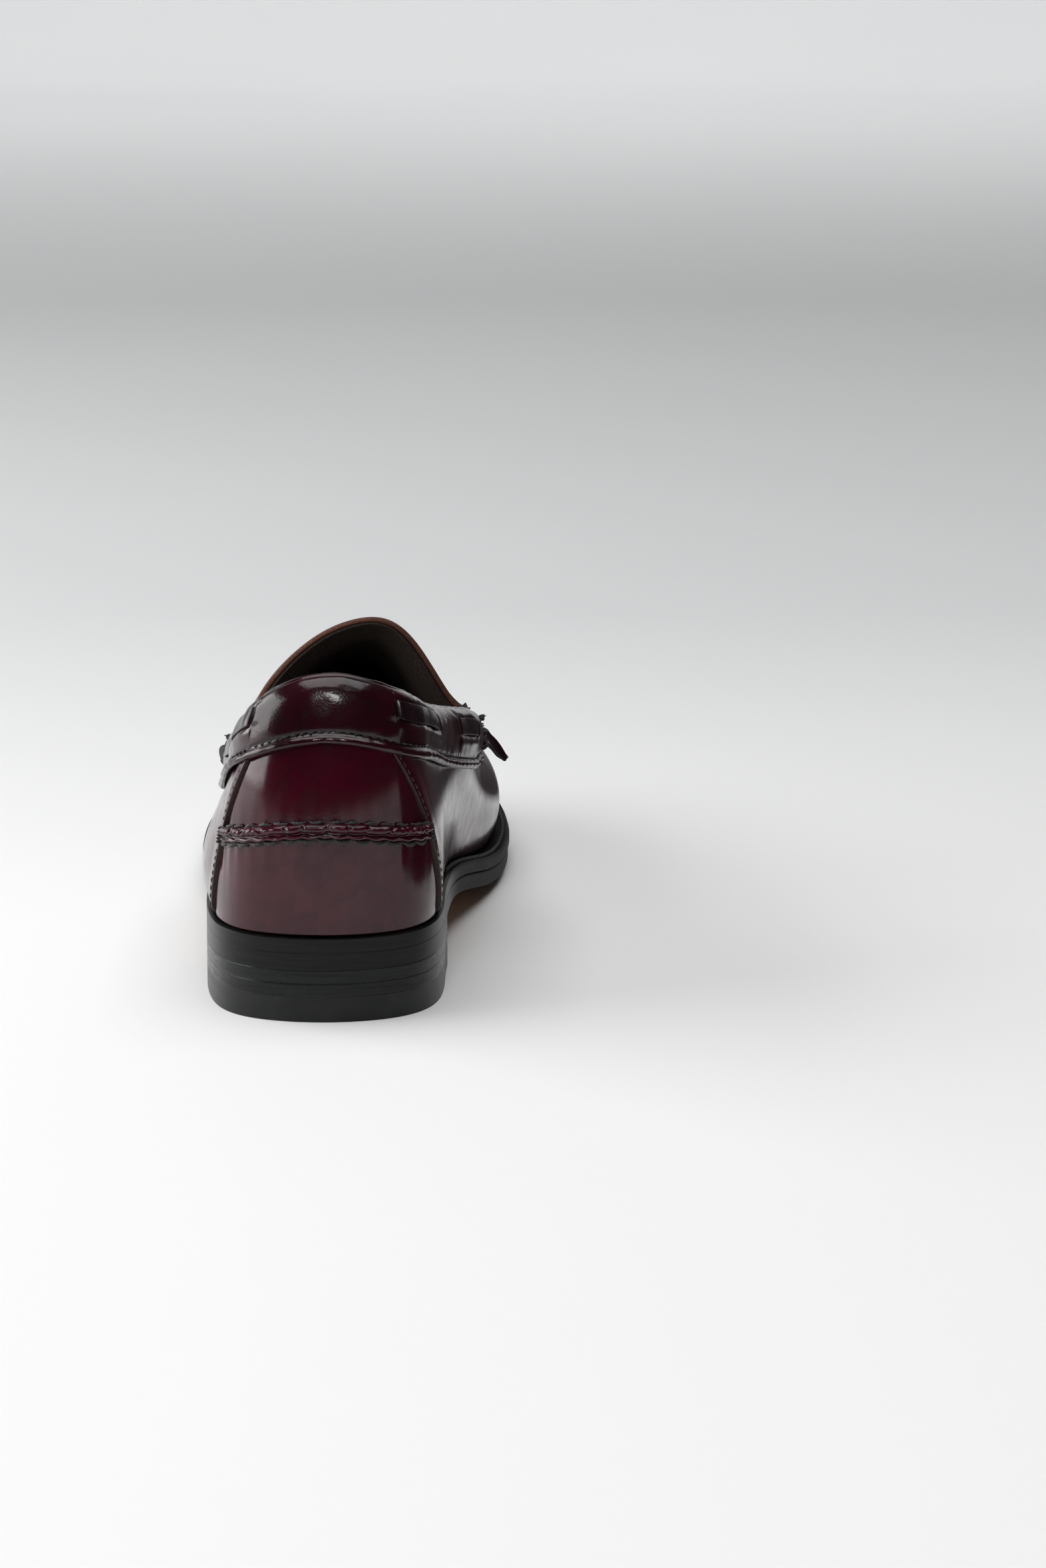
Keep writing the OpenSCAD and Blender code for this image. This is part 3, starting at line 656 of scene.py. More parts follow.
def sole_finish(name, ink, tan):
    """Leather sole: inked where its raw attribute is 1 and bare below. Where dark is 1 the wax is matt."""
    f = Finish(name)
    pores = f.noise(900.0, 4.0, 0.65)
    stains = f.noise(26.0, 5.0, 0.6)
    bare = f.mix(f.remap(stains, 0.35, 0.7), tan, dim(tan, 0.62))
    bare = f.mix(f.remap(pores, 0.62, 0.75, 0, 0.5), bare, dim(tan, 0.3))
    layers = f.noise(70.0, 5.0, 0.62, stretch=(1, 1, 30), distortion=0.3)
    inked = f.mix(f.remap(layers, 0.4, 0.7), ink, dim(ink, 1.8))
    cut = f.attribute("raw")
    f.bumps((layers, 0.3, 0.08), (pores, 0.12, 0.05), (f.noise(120.0, 3.0), 0.1, 0.3))
    waxed = f.math("SUBTRACT", cut, f.attribute("dark"))
    shine = f.remap(waxed, 0.0, 1.0, 0.55, 0.32)
    f.set(Base_Color=f.mix(cut, bare, inked), Roughness=shine, Coat_Roughness=0.14)
    f.set(Coat_Weight=f.remap(waxed, 0, 1, 0.0, 0.05))
    return f.set(Specular_IOR_Level=f.remap(waxed, 0, 1, 0.06, 0.14))


def moulded_rubber(name, colour):
    f = Finish(name)
    speck = f.noise(1500.0, 3.0, 0.7)
    wear = f.noise(70.0, 4.0)
    tone = f.mix(f.remap(wear, 0.4, 0.7), colour, dim(colour, 2.0, 0.004))
    f.bumps((speck, 0.3, 0.06), (wear, 0.15, 0.4))
    return f.set(Base_Color=tone, Roughness=f.remap(speck, 0.3, 0.7, 0.3, 0.42), Specular_IOR_Level=0.3)


def brushed_metal(name, colour, rough=0.25):
    f = Finish(name)
    brush = f.noise(700.0, 3.0, stretch=(1, 9, 1))
    f.bumps((brush, 0.25, 0.05))
    tone = f.mix(f.remap(brush, 0.35, 0.7), colour, dim(colour, 0.6))
    return f.set(Base_Color=tone, Metallic=1.0, Roughness=f.remap(brush, 0.3, 0.7, rough, rough + 0.2))


def pressed_fibre(name, colour, scale=420.0, dark=0.45):
    """Cork, foam and board: crumbs or cells pressed together."""
    f = Finish(name)
    crumbs = f.cells(scale, "F1")
    fine = f.noise(scale * 4, 3.0, 0.7)
    tone = f.mix(f.remap(crumbs, 0.1, 0.8), colour, dim(colour, dark))
    tone = f.mix(f.remap(fine, 0.45, 0.75, 0, 0.5), tone, dim(colour, dark * 0.6))
    f.bumps((crumbs, 0.5, 0.3), (fine, 0.3, 0.08))
    return f.set(Base_Color=tone, Roughness=0.85)


UPPER = grain_leather("burgundy_leather", (0.045, 0.0015, 0.0080), (0.024, 0.0010, 0.0045))
COLLAR = grain_leather(
    "collar_leather", (0.026, 0.0015, 0.0055), (0.010, 0.0010, 0.0026), 0.19, 0.25, grain=0.12
)
LACE = grain_leather(
    "lace_leather", (0.013, 0.0020, 0.0042), (0.006, 0.0012, 0.0022), 0.26, 0.2, (0.02, 0.017, 0.018)
)
INSIDE = grain_leather(
    "black_lining", (0.0036, 0.0024, 0.0030), (0.0020, 0.0014, 0.0018), 0.7, 0.0, grain=0.2, mirror=0.05
)
RIM = grain_leather(
    "tongue_leather", (0.020, 0.0030, 0.0050), (0.010, 0.002, 0.003), 0.4, 0.1, (0.15, 0.055, 0.034)
)
BOARD = grain_leather("insole_leather", (0.36, 0.20, 0.10), (0.26, 0.13, 0.06), 0.6, 0.0, (0.3, 0.18, 0.1))
THREAD = waxed_thread("waxed_thread", (0.0085, 0.0072, 0.0080))
STACK = stacked_leather("heel_leather", (0.0046, 0.0051, 0.0051))
SOLE = sole_finish("sole_leather", (0.0065, 0.0068, 0.0070), (0.42, 0.19, 0.075))
RUBBER = moulded_rubber("black_rubber", (0.0050, 0.0055, 0.0056))
BRASS = brushed_metal("nail_brass", (0.62, 0.43, 0.2))
STEEL = brushed_metal("spring_steel", (0.5, 0.51, 0.53), 0.32)
CORK = pressed_fibre("cork", (0.38, 0.22, 0.1))
FOAM = pressed_fibre("foam", (0.6, 0.56, 0.42), 900.0, 0.7)
STIFFENER = pressed_fibre("stiffener", (0.4, 0.33, 0.22), 1300.0, 0.7)


# ---------------------------------------------------------------- sole and heel


CORNER_POINTS = 5


def rounded(low, high, radius):
    """Profile of an edge face from low to high with rounded corners, as distance in and height."""
    a = np.linspace(0, np.pi / 2, CORNER_POINTS)
    bottom = [(radius * (1 - math.sin(x)), low + radius * (1 - math.cos(x))) for x in a]
    top = [(radius * (1 - math.cos(x)), high - radius * (1 - math.sin(x))) for x in a]
    middle = [(0.0, lerp(low + radius, high - radius, t)) for t in (0.02, 0.25, 0.5, 0.75, 0.98)]
    return np.array(bottom + middle + top)


def foot_lines(step):
    return even(lambda u: wall(u, 0.0), 0, COUNT, step, middles=False)[:-1]


def edge_profile(s, low, high):
    """Edge faces at places s: crisp at the heel, where the layers are ground flush, and rounder in front."""
    front = ease(HEEL_LENGTH - 8, HEEL_LENGTH + 25, s)[:, None, None]
    face = lerp(rounded(low, high, 0.07)[None], rounded(low, high, 0.7)[None], front)
    return face[..., 0], face[..., 1]


def matt_wax(s):
    """1 along the front sole edge, which is matt, and 0 at the heel."""
    return ease(HEEL_LENGTH, HEEL_LENGTH + 30, s)[:, None]


def make_welt():
    """A closed band round the foot, with a row of stitches near its edge."""
    us = foot_lines(1.2)
    s = stations(us)[0][:, 0]
    out, front = edge_out(s)[:, None], matt_wax(s)
    inset, rise = edge_profile(s, -WELT_T, 0.0)
    face = out - inset + 0.1 * front * ripple(wall(us, 0.0)[:, None, :], 30, 3)
    inner = np.full((len(us), 2), -WELT_IN)
    off = join(face, inner, axis=1)
    rise = join(rise, inner * 0 + [-0.05, -WELT_T + 0.05], axis=1)
    bevel = (rise > -0.01) * (off > out - 1.0)
    grid = sole_point(us[:, None], off, rise - 0.25 * bevel * front)
    shape = Shape()
    matt = np.broadcast_to(front, off.shape)
    shape.add(grid, grid_faces(*off.shape, loop=True, wrap=True), raw=1.0, dark=matt)
    shape.build("welt_ring", SOLE, ["welt"], "welt_leather")
    thread = Shape()

    def surface(u, off):
        out = edge_out(stations(u)[0][..., 0])
        return sole_point(u, out - WELT_STITCH_IN, off + 0.12)

    stitch_row(thread, surface, 3.4, COUNT - 3.4, 3.4, share=0.75, radius=0.42, rise=0.3, sink=0.6)
    thread.build("welt_stitches", THREAD, ["welt_thread"])


def make_outsole():
    """The sole is drawn as closed sections across the foot, from the heel to the toe."""
    u = 4.5 - 4.5 * np.cos(np.linspace(0, np.pi, 260))
    u = lerp(u, np.linspace(0, TOE, 260), 0.35)
    low, high = -WELT_T - OUTSOLE_T, -WELT_T - 0.02
    across = np.linspace(0, 1, 41)[1:-1]
    s = stations(u)[0][:, 0]
    sag = SOLE_SAG * ease(*WAIST, s) * (1 - ease(200, LENGTH - 2, s))
    out = edge_out(s)[:, None] - 0.35 * matt_wax(s)
    inset, level = edge_profile(s, low, high)
    left = sole_point(u[:, None], out - inset[:, ::-1], level[:, ::-1])
    right = sole_point(COUNT - u[:, None], out - inset, level)
    bottom = lerp(left[:, -1:], right[:, :1], across[None, :, None])
    top = lerp(right[:, -1:], left[:, :1], across[None, ::3, None])
    dip = sag[:, None] * (1 - (2 * across - 1) ** 2)
    bottom[..., 2] -= dip
    top[..., 2] -= dip[:, ::3]
    width = np.linalg.norm(left[:, -1] - right[:, 0], axis=1)[:, None]
    inset = np.minimum(across, 1 - across)[None] * width
    bottom[..., 2] += 0.5 * hump(inset - 5.5, 0.7) * (width > 20)
    grid = join(left, bottom, right, top, axis=1)
    inked = np.ones(grid.shape[:2])
    sides = left.shape[1]
    inked[:, sides : sides + len(across)] = 0
    inked[:, sides : sides + 2] = 0.6
    shape = Shape()
    shape.add(grid, grid_faces(*inked.shape, wrap=True), raw=inked, dark=matt_wax(s) * inked)
    shape.build("outsole_leather", SOLE, ["outsole"], weld=0.002)


def heel_outline():
    """The closed outline of the heel block in plan, with its bowed breast, and its normals."""
    us = even(lambda u: wall(u, 0.0), -3.4, 3.4, 0.9, middles=False)
    p = sole_point(us, edge_out(stations(us)[0][:, 0]), 0.0)
    p = p[(MIDDLE_S - p[:, 1]) < HEEL_LENGTH]
    breast = np.linspace(0, 1, 40)[1:-1]
    front = lerp(p[-1], p[0], breast[:, None])
    front[:, 1] += np.sin(np.pi * breast) * BREAST_BOW
    p = join(p, front)[:, :2]
    d = np.roll(p, -1, 0) - np.roll(p, 1, 0)
    n = unit(np.stack([d[:, 1], -d[:, 0]], 1))
    side = np.sign(np.mean(((p - p.mean(0)) * n).sum(1)))
    return p, n * side


def make_lift(name, node, low, high, rough, material):
    """One layer of the heel, with a crisp rim and faintly uneven sides."""
    p, n = heel_outline()
    radius = 0.02
    profile = rounded(low, high, radius)
    extra = np.linspace(low + radius + 0.12, high - radius - 0.12, max(4, int((high - low) / 0.4)))
    extra = join([low + radius + 0.02], extra, [high - radius - 0.02])
    middle = np.stack([np.zeros(len(extra)), extra], 1)
    rows = join(profile[:CORNER_POINTS], middle, profile[-CORNER_POINTS:])
    shape = Shape()
    local = np.random.default_rng(len(name))
    levels = local.normal(0, rough, len(rows))
    rings = []
    for (inset, z), level in zip(rows, levels):
        sway = rough * 0.8 * np.sin(np.arange(len(p)) * 0.11 + z * 2.1)
        q = p - n * (inset - level * (inset == 0) - sway)[:, None]
        rings.append(np.column_stack([q, np.full(len(p), z)]))
    centre = p.mean(0)
    for shrink in (0.75, 0.4, 0.12):
        cap = centre + (p - centre) * shrink
        bottom, top = (np.column_stack([cap, np.full(len(p), z)]) for z in (low, high))
        rings = [bottom, *rings, top]
    faces = grid_faces(len(rings), len(p), wrap=True)[..., ::-1]
    shape.add(join(*rings, [[*centre, low], [*centre, high]]), faces, end_fans(len(rings), len(p)), raw=1.0)
    shape.build(name, material, [node])


def make_heel():
    """Two leather lifts on a rubber top lift, ground flush with each other."""
    lift = (HEEL - WELT_T - OUTSOLE_T - TOP_LIFT_T) / 2
    make_lift("top_lift_rubber", "top_lift", 0.0, TOP_LIFT_T, 0.01, RUBBER)
    for k, node in enumerate(("heel_lift_lower", "heel_lift_upper")):
        start = TOP_LIFT_T + k * lift
        make_lift(node + "_leather", node, start, start + lift, 0.03, STACK)


# ---------------------------------------------------------------- upper

RAIL_RISE, SEAM_PITCH, SEAM_LAP = 2.3, 4.2, 0.95
STRAP_ROWS, SLOT_ROW, SLOT_AT, SLOT_HALF = (1.9, 4.3), 0.46, 4.74, 0.115
SIDE_STITCH_IN = 1.45


def front_weight(u):
    """1 along the moccasin seam and 0 behind the strap."""
    return ease(4.55, 5.1, from_heel(u))


def puckers(run, weight, fade):
    """Pleats where the vamp is gathered into the moccasin seam."""
    wave = np.cos(2 * np.pi * run / SEAM_PITCH)
    return weight * fade * (0.42 * wave - 0.12 * wave**2)


def make_vamp():
    """The vamp wraps the front from one side seam to the other, and stands up along the apron's rim."""
    us = lines(lambda u: wall(u, 0.6), SEAM_START, COUNT - SEAM_START, 0.95, 0.25)
    ys = join(np.linspace(0, 0.9, 44), np.linspace(0.915, 1, 8))
    u, y = np.meshgrid(us, ys, indexing="ij")
    d = from_heel(u)
    pull = (seam_u(y, u < TOE) - SEAM_START + 0.012) * (1 - ease(SEAM_START, 3.25, d))
    u = np.where(u < TOE, u + pull, u - pull)
    face = skin(u, y)
    rise = np.linspace(0.35, 1, 5) * RAIL_RISE
    up = unit(lerp(normals(face)[:, -1:], UP, 0.75))
    weight = front_weight(us)[:, None]
    flange = face[:, -1:] + up * (rise * weight + 0.02 * rise)[..., None]
    grid = join(face, flange, axis=1)
    below = along_cols(grid)
    below = np.abs(below[:, -6:-5] - below)
    toe = ease(5.6, 7.6, from_heel(us))[:, None]
    fade = np.exp(-below / 5.5) * (0.35 + 0.65 * toe)
    back = along_rows(grid)
    lift = puckers(back[:, -7:-6], weight, fade)
    seam = np.minimum(back, back[-1:] - back)
    lap = SEAM_LAP * (1 - ease(0.5, 9.0, seam)) * ease(0.0, 0.04, np.linspace(0, 1, grid.shape[1]))
    channel = -0.22 * hump(seam - SIDE_STITCH_IN, 0.5)
    lift = lift + lap + channel + 0.1 * ripple(grid, 26, 5)
    # Painted shade along the stitch channel beside each side seam and in the troughs of the pleats.
    dark = 0.6 * hump(seam - 1.4, 0.8) + 0.6 * fade * weight * (lift < -0.1)
    dark = np.clip(dark, 0, 1)
    sheet_piece("vamp_leather", "vamp", UPPER, grid, UPPER_T, lift=lift, edge=0.3, dark=dark)


def make_apron():
    """The raised panel over the foot. It sinks under the strap's slot, where painted shade darkens it, and a
    band of painted shade runs just inside its rim.
    """
    a = lerp(4.4, TOE - 0.06, np.sin(np.linspace(0, np.pi / 2, 150)))
    t = 0.5 - 0.5 * np.cos(np.linspace(0, np.pi, 90))
    inset = UPPER_T + 0.75
    face = patch(a[:, None], t[None], inset)
    up = normals(face)
    rise = np.array([1.0, 0.72, 0.45, 0.2])[:, None] * front_weight(a)[:, None, None] * RAIL_RISE * 0.9
    left = face[:, :1] + lerp(up[:, :1], UP, 0.6) * rise
    right = face[:, -1:] + lerp(up[:, -1:], UP, 0.6) * rise[:, ::-1]
    grid = join(left, face, right, axis=1)
    near = edge_distance(grid)
    level = join(np.zeros(4), t, np.ones(4))
    under_slot = np.clip(2 * hump(a - SLOT_AT, 0.2)[:, None] * hump(level - 0.5, 0.1)[None], 0, 1)
    lift = 0.12 * ripple(grid, 34, 8) - 0.25 * hump(near - 3.6, 1.3) - 0.9 * under_slot
    # Painted shade in a band just inside the rim and under the strap's slot.
    dark = np.maximum(0.4 * hump(near - 2.8, 1.0), 1.15 * under_slot)
    sheet_piece("apron_leather", "apron", UPPER, grid, UPPER_T, lift=lift, edge=0.35, dark=dark)


def make_moccasin_stitches():
    """Each hand stitch crosses the ridge from a hole in the vamp wall to a hole in the apron."""
    shape = Shape()
    for u in even(lambda u: wall(u, 1.0), 4.95, COUNT - 4.95, SEAM_PITCH):
        outer, rail = wall(u, 0.955, 0.1), wall(u, 1.0)
        inner = wall(u, 1.0, -UPPER_T - 2.6)
        across = outward(inner, outer)
        top = rail + UP * (RAIL_RISE * front_weight(u) + 0.35) + across * 0.9
        lean = wall(u + reach(u, 0.5), 1.0) - rail
        near = [outer - across * 0.1, outer + UP * 1.2 - across * 0.35, top - across * 1.2 + lean * 0.5]
        far = [top + lean, top + across * 1.3 + lean, inner + UP * 1.6 + lean, inner - UP * 0.4 + lean]
        tube(shape, smooth_curve(near + far, 22), 0.42, sides=10, twist=0.45)
    shape.build("moccasin_stitches", THREAD, ["apron_thread"])


def make_strap():
    """The saddle strap, cut away at the slot, with two rows of fine stitches along its edges."""
    ws = lines(lambda w: saddle(4.6, 1.2 * w - 0.6), 0, 1, 0.8, 0.4)
    before, after = np.linspace(0, SLOT_ROW - 0.004, 20)[1:], np.linspace(SLOT_ROW + 0.004, 1, 22)[:-1]
    xs = join([0, 0.006, 0.015, 0.025], before, after, [0.975, 0.985, 0.994, 1])
    w, x = np.meshgrid(ws, xs, indexing="ij")
    x = x + np.sign(x - SLOT_ROW) * 0.16 * slot_shape(w) * np.exp(-np.abs(x - SLOT_ROW) / 0.22)
    sine = np.clip(np.sin(np.pi * w), 0, 1)
    rear = 4.33 + 0.14 * sine**0.6
    fore = 4.37 + 0.8 * sine**0.7 - 0.1 * hump(w - 0.5, 0.1)
    end = lerp(-0.52, -0.68, x)
    grid = saddle(lerp(rear, fore, x), lerp(end, -end, w))
    grid = grid - normals(grid) * 1.5
    split = int(np.argmax(xs > SLOT_ROW)) - 1
    closed = np.ones((len(ws) - 1, len(xs) - 1), bool)
    middle = (ws[1:] + ws[:-1]) / 2
    closed[slot_shape(middle) > 0.02, split] = False
    near = edge_distance(grid)
    first, second = (hump(near - row, 0.45) for row in STRAP_ROWS)
    lift = 0.15 * hump(near - 4, 2.0) - 0.22 * first - 0.2 * second
    # Painted shade in the groove of the first stitch row.
    dark = 0.5 * hump(near - STRAP_ROWS[0], 0.6)
    look = {"lift": lift, "edge": 0.45, "side": -1, "closed": closed, "dark": dark}
    outer = sheet_piece("saddle_strap_leather", "saddle_strap", UPPER, grid, 1.1, **look)
    thread = Shape()
    face = join(outer, -normals(grid), axis=2)
    run = along_cols(grid)
    for level in STRAP_ROWS:
        for side in (1, -1):
            d = (run if side > 0 else run[:, -1:] - run)[8:-8, ::side]
            track = np.array([at(level, near, row) for near, row in zip(d, face[8:-8, ::side])])
            length = run_along(track[:, :3])
            for start in np.arange(1.0, length[-1] - 2.5, 2.3):
                a, middle, b = (at(start + part, length, track) for part in (0, 0.9, 1.75))
                stitch(thread, a[:3], b[:3], middle[3:], radius=0.2, rise=0.16, sink=0.4, points=7)
    return thread


def slot_shape(w):
    """How wide the strap's slot is open at a share w of the strap's length: pointed ends, full middle."""
    x = np.clip(np.abs(np.asarray(w, float) - 0.5) / SLOT_HALF, 0, 1)
    return (1 - x**1.6) * (0.75 + 0.25 * np.cos(np.pi * x))


def make_tongue():
    """The tongue stands up behind the strap, and carries a thin black lining."""
    a = np.array([4.15, 4.155, 4.165, 4.18, 4.2, 4.24, 4.28, 4.32, 4.36, 4.42, 4.5, 4.6, 4.7, 4.8, 4.9])
    t = lines(lambda t: patch(4.3, t), 0.03, 0.97, 0.8, 0.5)
    inset = lerp(0.5, 2.8, ease(4.15, 4.28, a))[:, None]
    grid = patch(a[:, None], t[None], inset)
    sink = (UPPER_T + 0.5) * ease(4.15, 4.36, a)[:, None, None]
    grid = grid - normals(grid) * sink
    lift = 0.1 * ripple(grid, 20, 3) - 0.15 * hump(edge_distance(grid) - 2.2, 0.5)
    sheet_piece("tongue_leather", "tongue", RIM, grid, 1.5, "burgundy_leather", lift=lift, edge=0.6)
    inner = patch(a[1:, None], lerp(0.05, 0.95, (t - 0.03) / 0.94)[None], inset[1:] + 0.2)
    inner = inner - normals(inner) * (sink[1:] + 1.6)
    lift = 0.08 * ripple(inner, 12, 4)
    sheet_piece("tongue_lining_leather", "tongue_lining", INSIDE, inner, 0.8, lift=lift, edge=0.35)


# ---------------------------------------------------------------- collar and lace

# Profile of the padded band as offset from the last and drop below the topline, from its lower
# edge up the outside, over the top and down the inside.
BAND = [
    (0.55, 16.5), (1.4, 16.65), (2.2, 16.2), (2.45, 15.5), (2.25, 14.85), (1.6, 14.35), (1.3, 13.75),
    (1.55, 12.95), (1.8, 11.6), (2.0, 9.8), (2.12, 8.1), (2.2, 6.6), (2.22, 5.2), (2.15, 3.9), (1.9, 2.7),
    (1.45, 1.65), (0.85, 0.95), (0.3, 0.62), (-0.02, 0.52), (-0.25, 0.18), (-0.65, 0.02), (-1.2, 0.1),
    (-2.0, 0.35), (-2.9, 0.95), (-3.7, 2.0), (-4.25, 3.6), (-4.5, 5.6), (-4.6, 9.0),
]
SLIT_HALF = LACE_WIDTH / 2 + 0.45
STITCH_DROP = 13.75


def lace_is_out(u):
    """1 where the lace lies outside the band, 0 where it runs inside."""
    shares = []
    for slits in (SLITS_INNER, SLITS_OUTER):
        a, b, c, d = (ease(s - 0.02, s + 0.02, np.abs(u)) for s in slits)
        shares.append(a * (1 - b) + c * (1 - d))
    return np.where(u > 0, *shares)


def collar_lines(step):
    """Grid lines along the collar, with a close pair at each slit for the lace."""
    base = lines(lambda u: wall(u, 1.0), -COLLAR_END, COLLAR_END, step, 0.5)
    cuts = np.array([*SLITS_INNER, *(-s for s in SLITS_OUTER)])
    gaps = np.abs(base[:, None] - cuts[None]) / reach(cuts, 1.0)[None]
    base = base[gaps.min(1) > 0.5]
    gaps = reach(cuts, 1.0) * np.array([[-0.4], [-0.06], [0.06], [0.4]])
    return np.sort(join(base, *(cuts + gaps))), cuts


def collar_curl(u):
    """How far the lower edge of the band turns up, from 0 at the sides to 1 at its front ends."""
    return ease(3.72, COLLAR_END, np.abs(u))


def make_collar():
    """The padded band round the opening, with slits for the lace and a piped lower edge."""
    us, cuts = collar_lines(0.75)
    profile = smooth_curve(BAND, 84)
    level = profile[None, :, 1]
    u, drop = np.meshgrid(us, profile[:, 1], indexing="ij")
    off = np.repeat(profile[None, :, 0], len(us), 0)
    outside = np.arange(len(profile))[None] < np.argmin(profile[:, 1])
    # At a slit the leather parts and stands up a little. Where the lace runs outside it lies in a groove.
    high = (drop - LACE_DROP) / SLIT_HALF
    opening = np.clip(1 - high**2, 0, 1) * outside
    for c in cuts:
        mm = (us[:, None] - c) / reach(c, 1.0)
        u = u + np.sign(mm) * reach(c, 1.0) * 0.8 * opening * np.exp(-np.abs(mm) / 1.8)
        off = off + 0.45 * hump(mm, 2.6) * np.clip(1.3 - high**2, 0, 1) * outside
    sunk = lace_is_out(u) * outside
    off = off - 1.15 * sunk * hump(drop - LACE_DROP, 2.25)
    off = off + 0.45 * sunk * (hump(drop - LACE_DROP - 3.9, 1.5) + hump(drop - LACE_DROP + 3.4, 1.2))
    drop = drop - 0.3 * collar_curl(us)[:, None] * np.maximum(drop - 6.5, 0) * outside
    grid = below_rail(u, drop, off)
    run = along_rows(grid)[:, 10:11] - along_rows(grid)[len(us) // 2, 10]
    # The piped lower edge is wound like a cord near the heel, and gathered by stitches above it.
    bead = hump(level - 15.6, 0.75) * outside
    twist = np.sin(2 * np.pi * (run / 1.9 + level / 2.2))
    ribs = bead * (0.16 * twist * ease(20, 45, run) * (1 - ease(80, 100, run)) + 0.1 * np.sin(run * 1.3))
    stitches = hump(level - STITCH_DROP, 0.8) * outside
    pull = stitches * 0.12 * np.cos(2 * np.pi * run / 2.3)
    pebbles = 0.05 * ripple(grid, 2.2, 21) * hump(level - 2.5, 3.0)
    lift = ribs + pull + pebbles + 0.16 * ripple(grid, 17, 9) * outside + 0.08 * ripple(grid, 6, 10)
    row = (profile[1:, 1] + profile[:-1, 1]) / 2
    closed = np.ones((len(us) - 1, len(profile) - 1), bool)
    middle = (us[1:] + us[:-1]) / 2
    for c in cuts:
        column = int(np.argmin(np.abs(middle - c)))
        closed[column, (np.abs(row - LACE_DROP) < SLIT_HALF) & outside[0, :-1]] = False
    # Painted shade in the groove of the stitch line and between the ribs of the piped edge.
    dark = np.clip(0.8 * stitches + 0.5 * bead * (twist < -0.5), 0, 1)
    look = {"lift": lift, "edge": 0.35, "closed": closed, "dark": dark}
    sheet_piece("collar_leather_band", "collar_band", COLLAR, grid, 0.95, "burgundy_leather", **look)

    thread = Shape()

    def surface(u, off):
        return below_rail(u, STITCH_DROP - 2.16 * collar_curl(u), off + 1.25)

    look = {"radius": 0.22, "rise": 0.14, "sink": 0.4, "twist": 0.5}
    stitch_row(thread, surface, -COLLAR_END + 0.05, COLLAR_END - 0.05, 2.3, share=0.7, jitter=0.15, **look)
    marks = rng.uniform(-COLLAR_END + 0.1, COLLAR_END - 0.1, 40)
    points = surface(marks, 0.2)
    fuzz(thread, points, outward(surface(marks, 1.0), surface(marks, 0.0)), 0.9)
    thread.build("collar_stitches", THREAD, ["collar_thread"])


def make_lace():
    """The lace runs inside the band, and comes out between the slits on each side."""
    us = lines(lambda u: wall(u, 1.0), -COLLAR_END + 0.03, COLLAR_END - 0.03, 0.6, 0.3)
    half = LACE_WIDTH / 2
    close = np.array([0, 0.05, 0.14, 0.25])
    across = join(close, np.linspace(0.5, LACE_WIDTH - 0.5, 9), LACE_WIDTH - close[::-1])
    u, drop = np.meshgrid(us, LACE_DROP + half - across, indexing="ij")
    out = np.zeros_like(us)
    for side, slits in ((1, SLITS_INNER), (-1, SLITS_OUTER)):
        for k, s in enumerate(slits):
            width = reach(side * s, 1.7)
            out += (1 if k % 2 == 0 else -1) * ease(s - width, s + width, side * us)
    belly = 0.25 * np.sin(us * 9.0) * out
    domed = 0.2 * (1 - ((drop - LACE_DROP) / half) ** 2)
    off = (lerp(LACE_IN, LACE_OUT, out) + belly)[:, None] + domed
    grid = below_rail(u, drop + 0.15 * np.sin(us * 5.0)[:, None], off)
    lift = 0.05 * ripple(grid, 4, 14)
    sheet_piece("side_lace_strip", "side_lace", LACE, grid, LACE_T, lift=lift, edge=0.22)


def make_beefroll(u, label, thread):
    """Leather rolled up on itself and bound with thread, standing at one side of the strap."""
    foot, head = wall(u, 0.74, ROLL_OUT), wall(u, 0.965, ROLL_OUT)
    axis = outward(head, foot)
    x = unit(np.cross(axis, [0, 1.0, 0]))
    y = np.cross(axis, x)
    length = np.linalg.norm(head - foot)
    turns = np.linspace(0, 3.4 * np.pi, 54)
    radius = lerp(0.3, ROLL_RADIUS, turns / turns[-1])
    turns = join(turns, turns[::-1])
    radius = join(radius, np.maximum(radius[::-1] - 0.42, 0.05))
    rows = join([0, 0.02, 0.05], np.linspace(0.08, 0.92, 40), [0.95, 0.98, 1])
    wraps = np.linspace(0.12, 0.88, 5)
    grid = []
    for t in rows:
        squeeze = 1 - 0.13 * sum(hump(t - w, 0.035) for w in wraps)
        squeeze *= 1 - 0.25 * hump(min(t, 1 - t), 0.03) + 0.05 * math.sin(t * 23)
        r = radius * squeeze * (1 + 0.07 * np.sin(turns * 2 + t * 19))
        grid.append(round_points(foot + axis * t * length, r, turns + 0.25 * math.sin(t * 7), x, y))
    raw = np.zeros((len(rows), len(turns)))
    raw[[0, -1]] = 1
    shape = Shape()
    shape.add(grid, capped_faces(*raw.shape)[:, ::-1], raw=raw)
    shape.build(f"beefroll_{label}_leather", UPPER, [f"beefroll_{label}"])
    phi = np.linspace(0, 2 * np.pi, 30)
    for k, w in enumerate(wraps):
        for strand in (-0.3, 0.28):
            r = ROLL_RADIUS * 0.9 + 0.2 + 0.05 * np.sin(phi * 3 + k)
            along = w * length + strand + 0.25 * np.sin(phi + k)
            tube(thread, round_points(foot + np.outer(along, axis), r, phi, x, y), 0.22, twist=0.5)
    knot = foot + axis * length * 0.93 + [math.copysign(1.6, foot[0]), 0.8, 0.3]
    t = np.linspace(0, 2 * np.pi, 26)[:, None]
    loop = knot + np.hstack([0.55 * np.sin(2 * t), 0.7 * np.cos(t), 0.6 * np.sin(3 * t)])
    tube(thread, loop, 0.26, sides=7, twist=0.5)
    tail = knot + np.linspace(0, 1, 6)[:, None] * [math.copysign(1.2, foot[0]), 0.9, 0.7]
    tube(thread, tail, np.linspace(0.24, 0.1, 6), sides=6, twist=0.6)


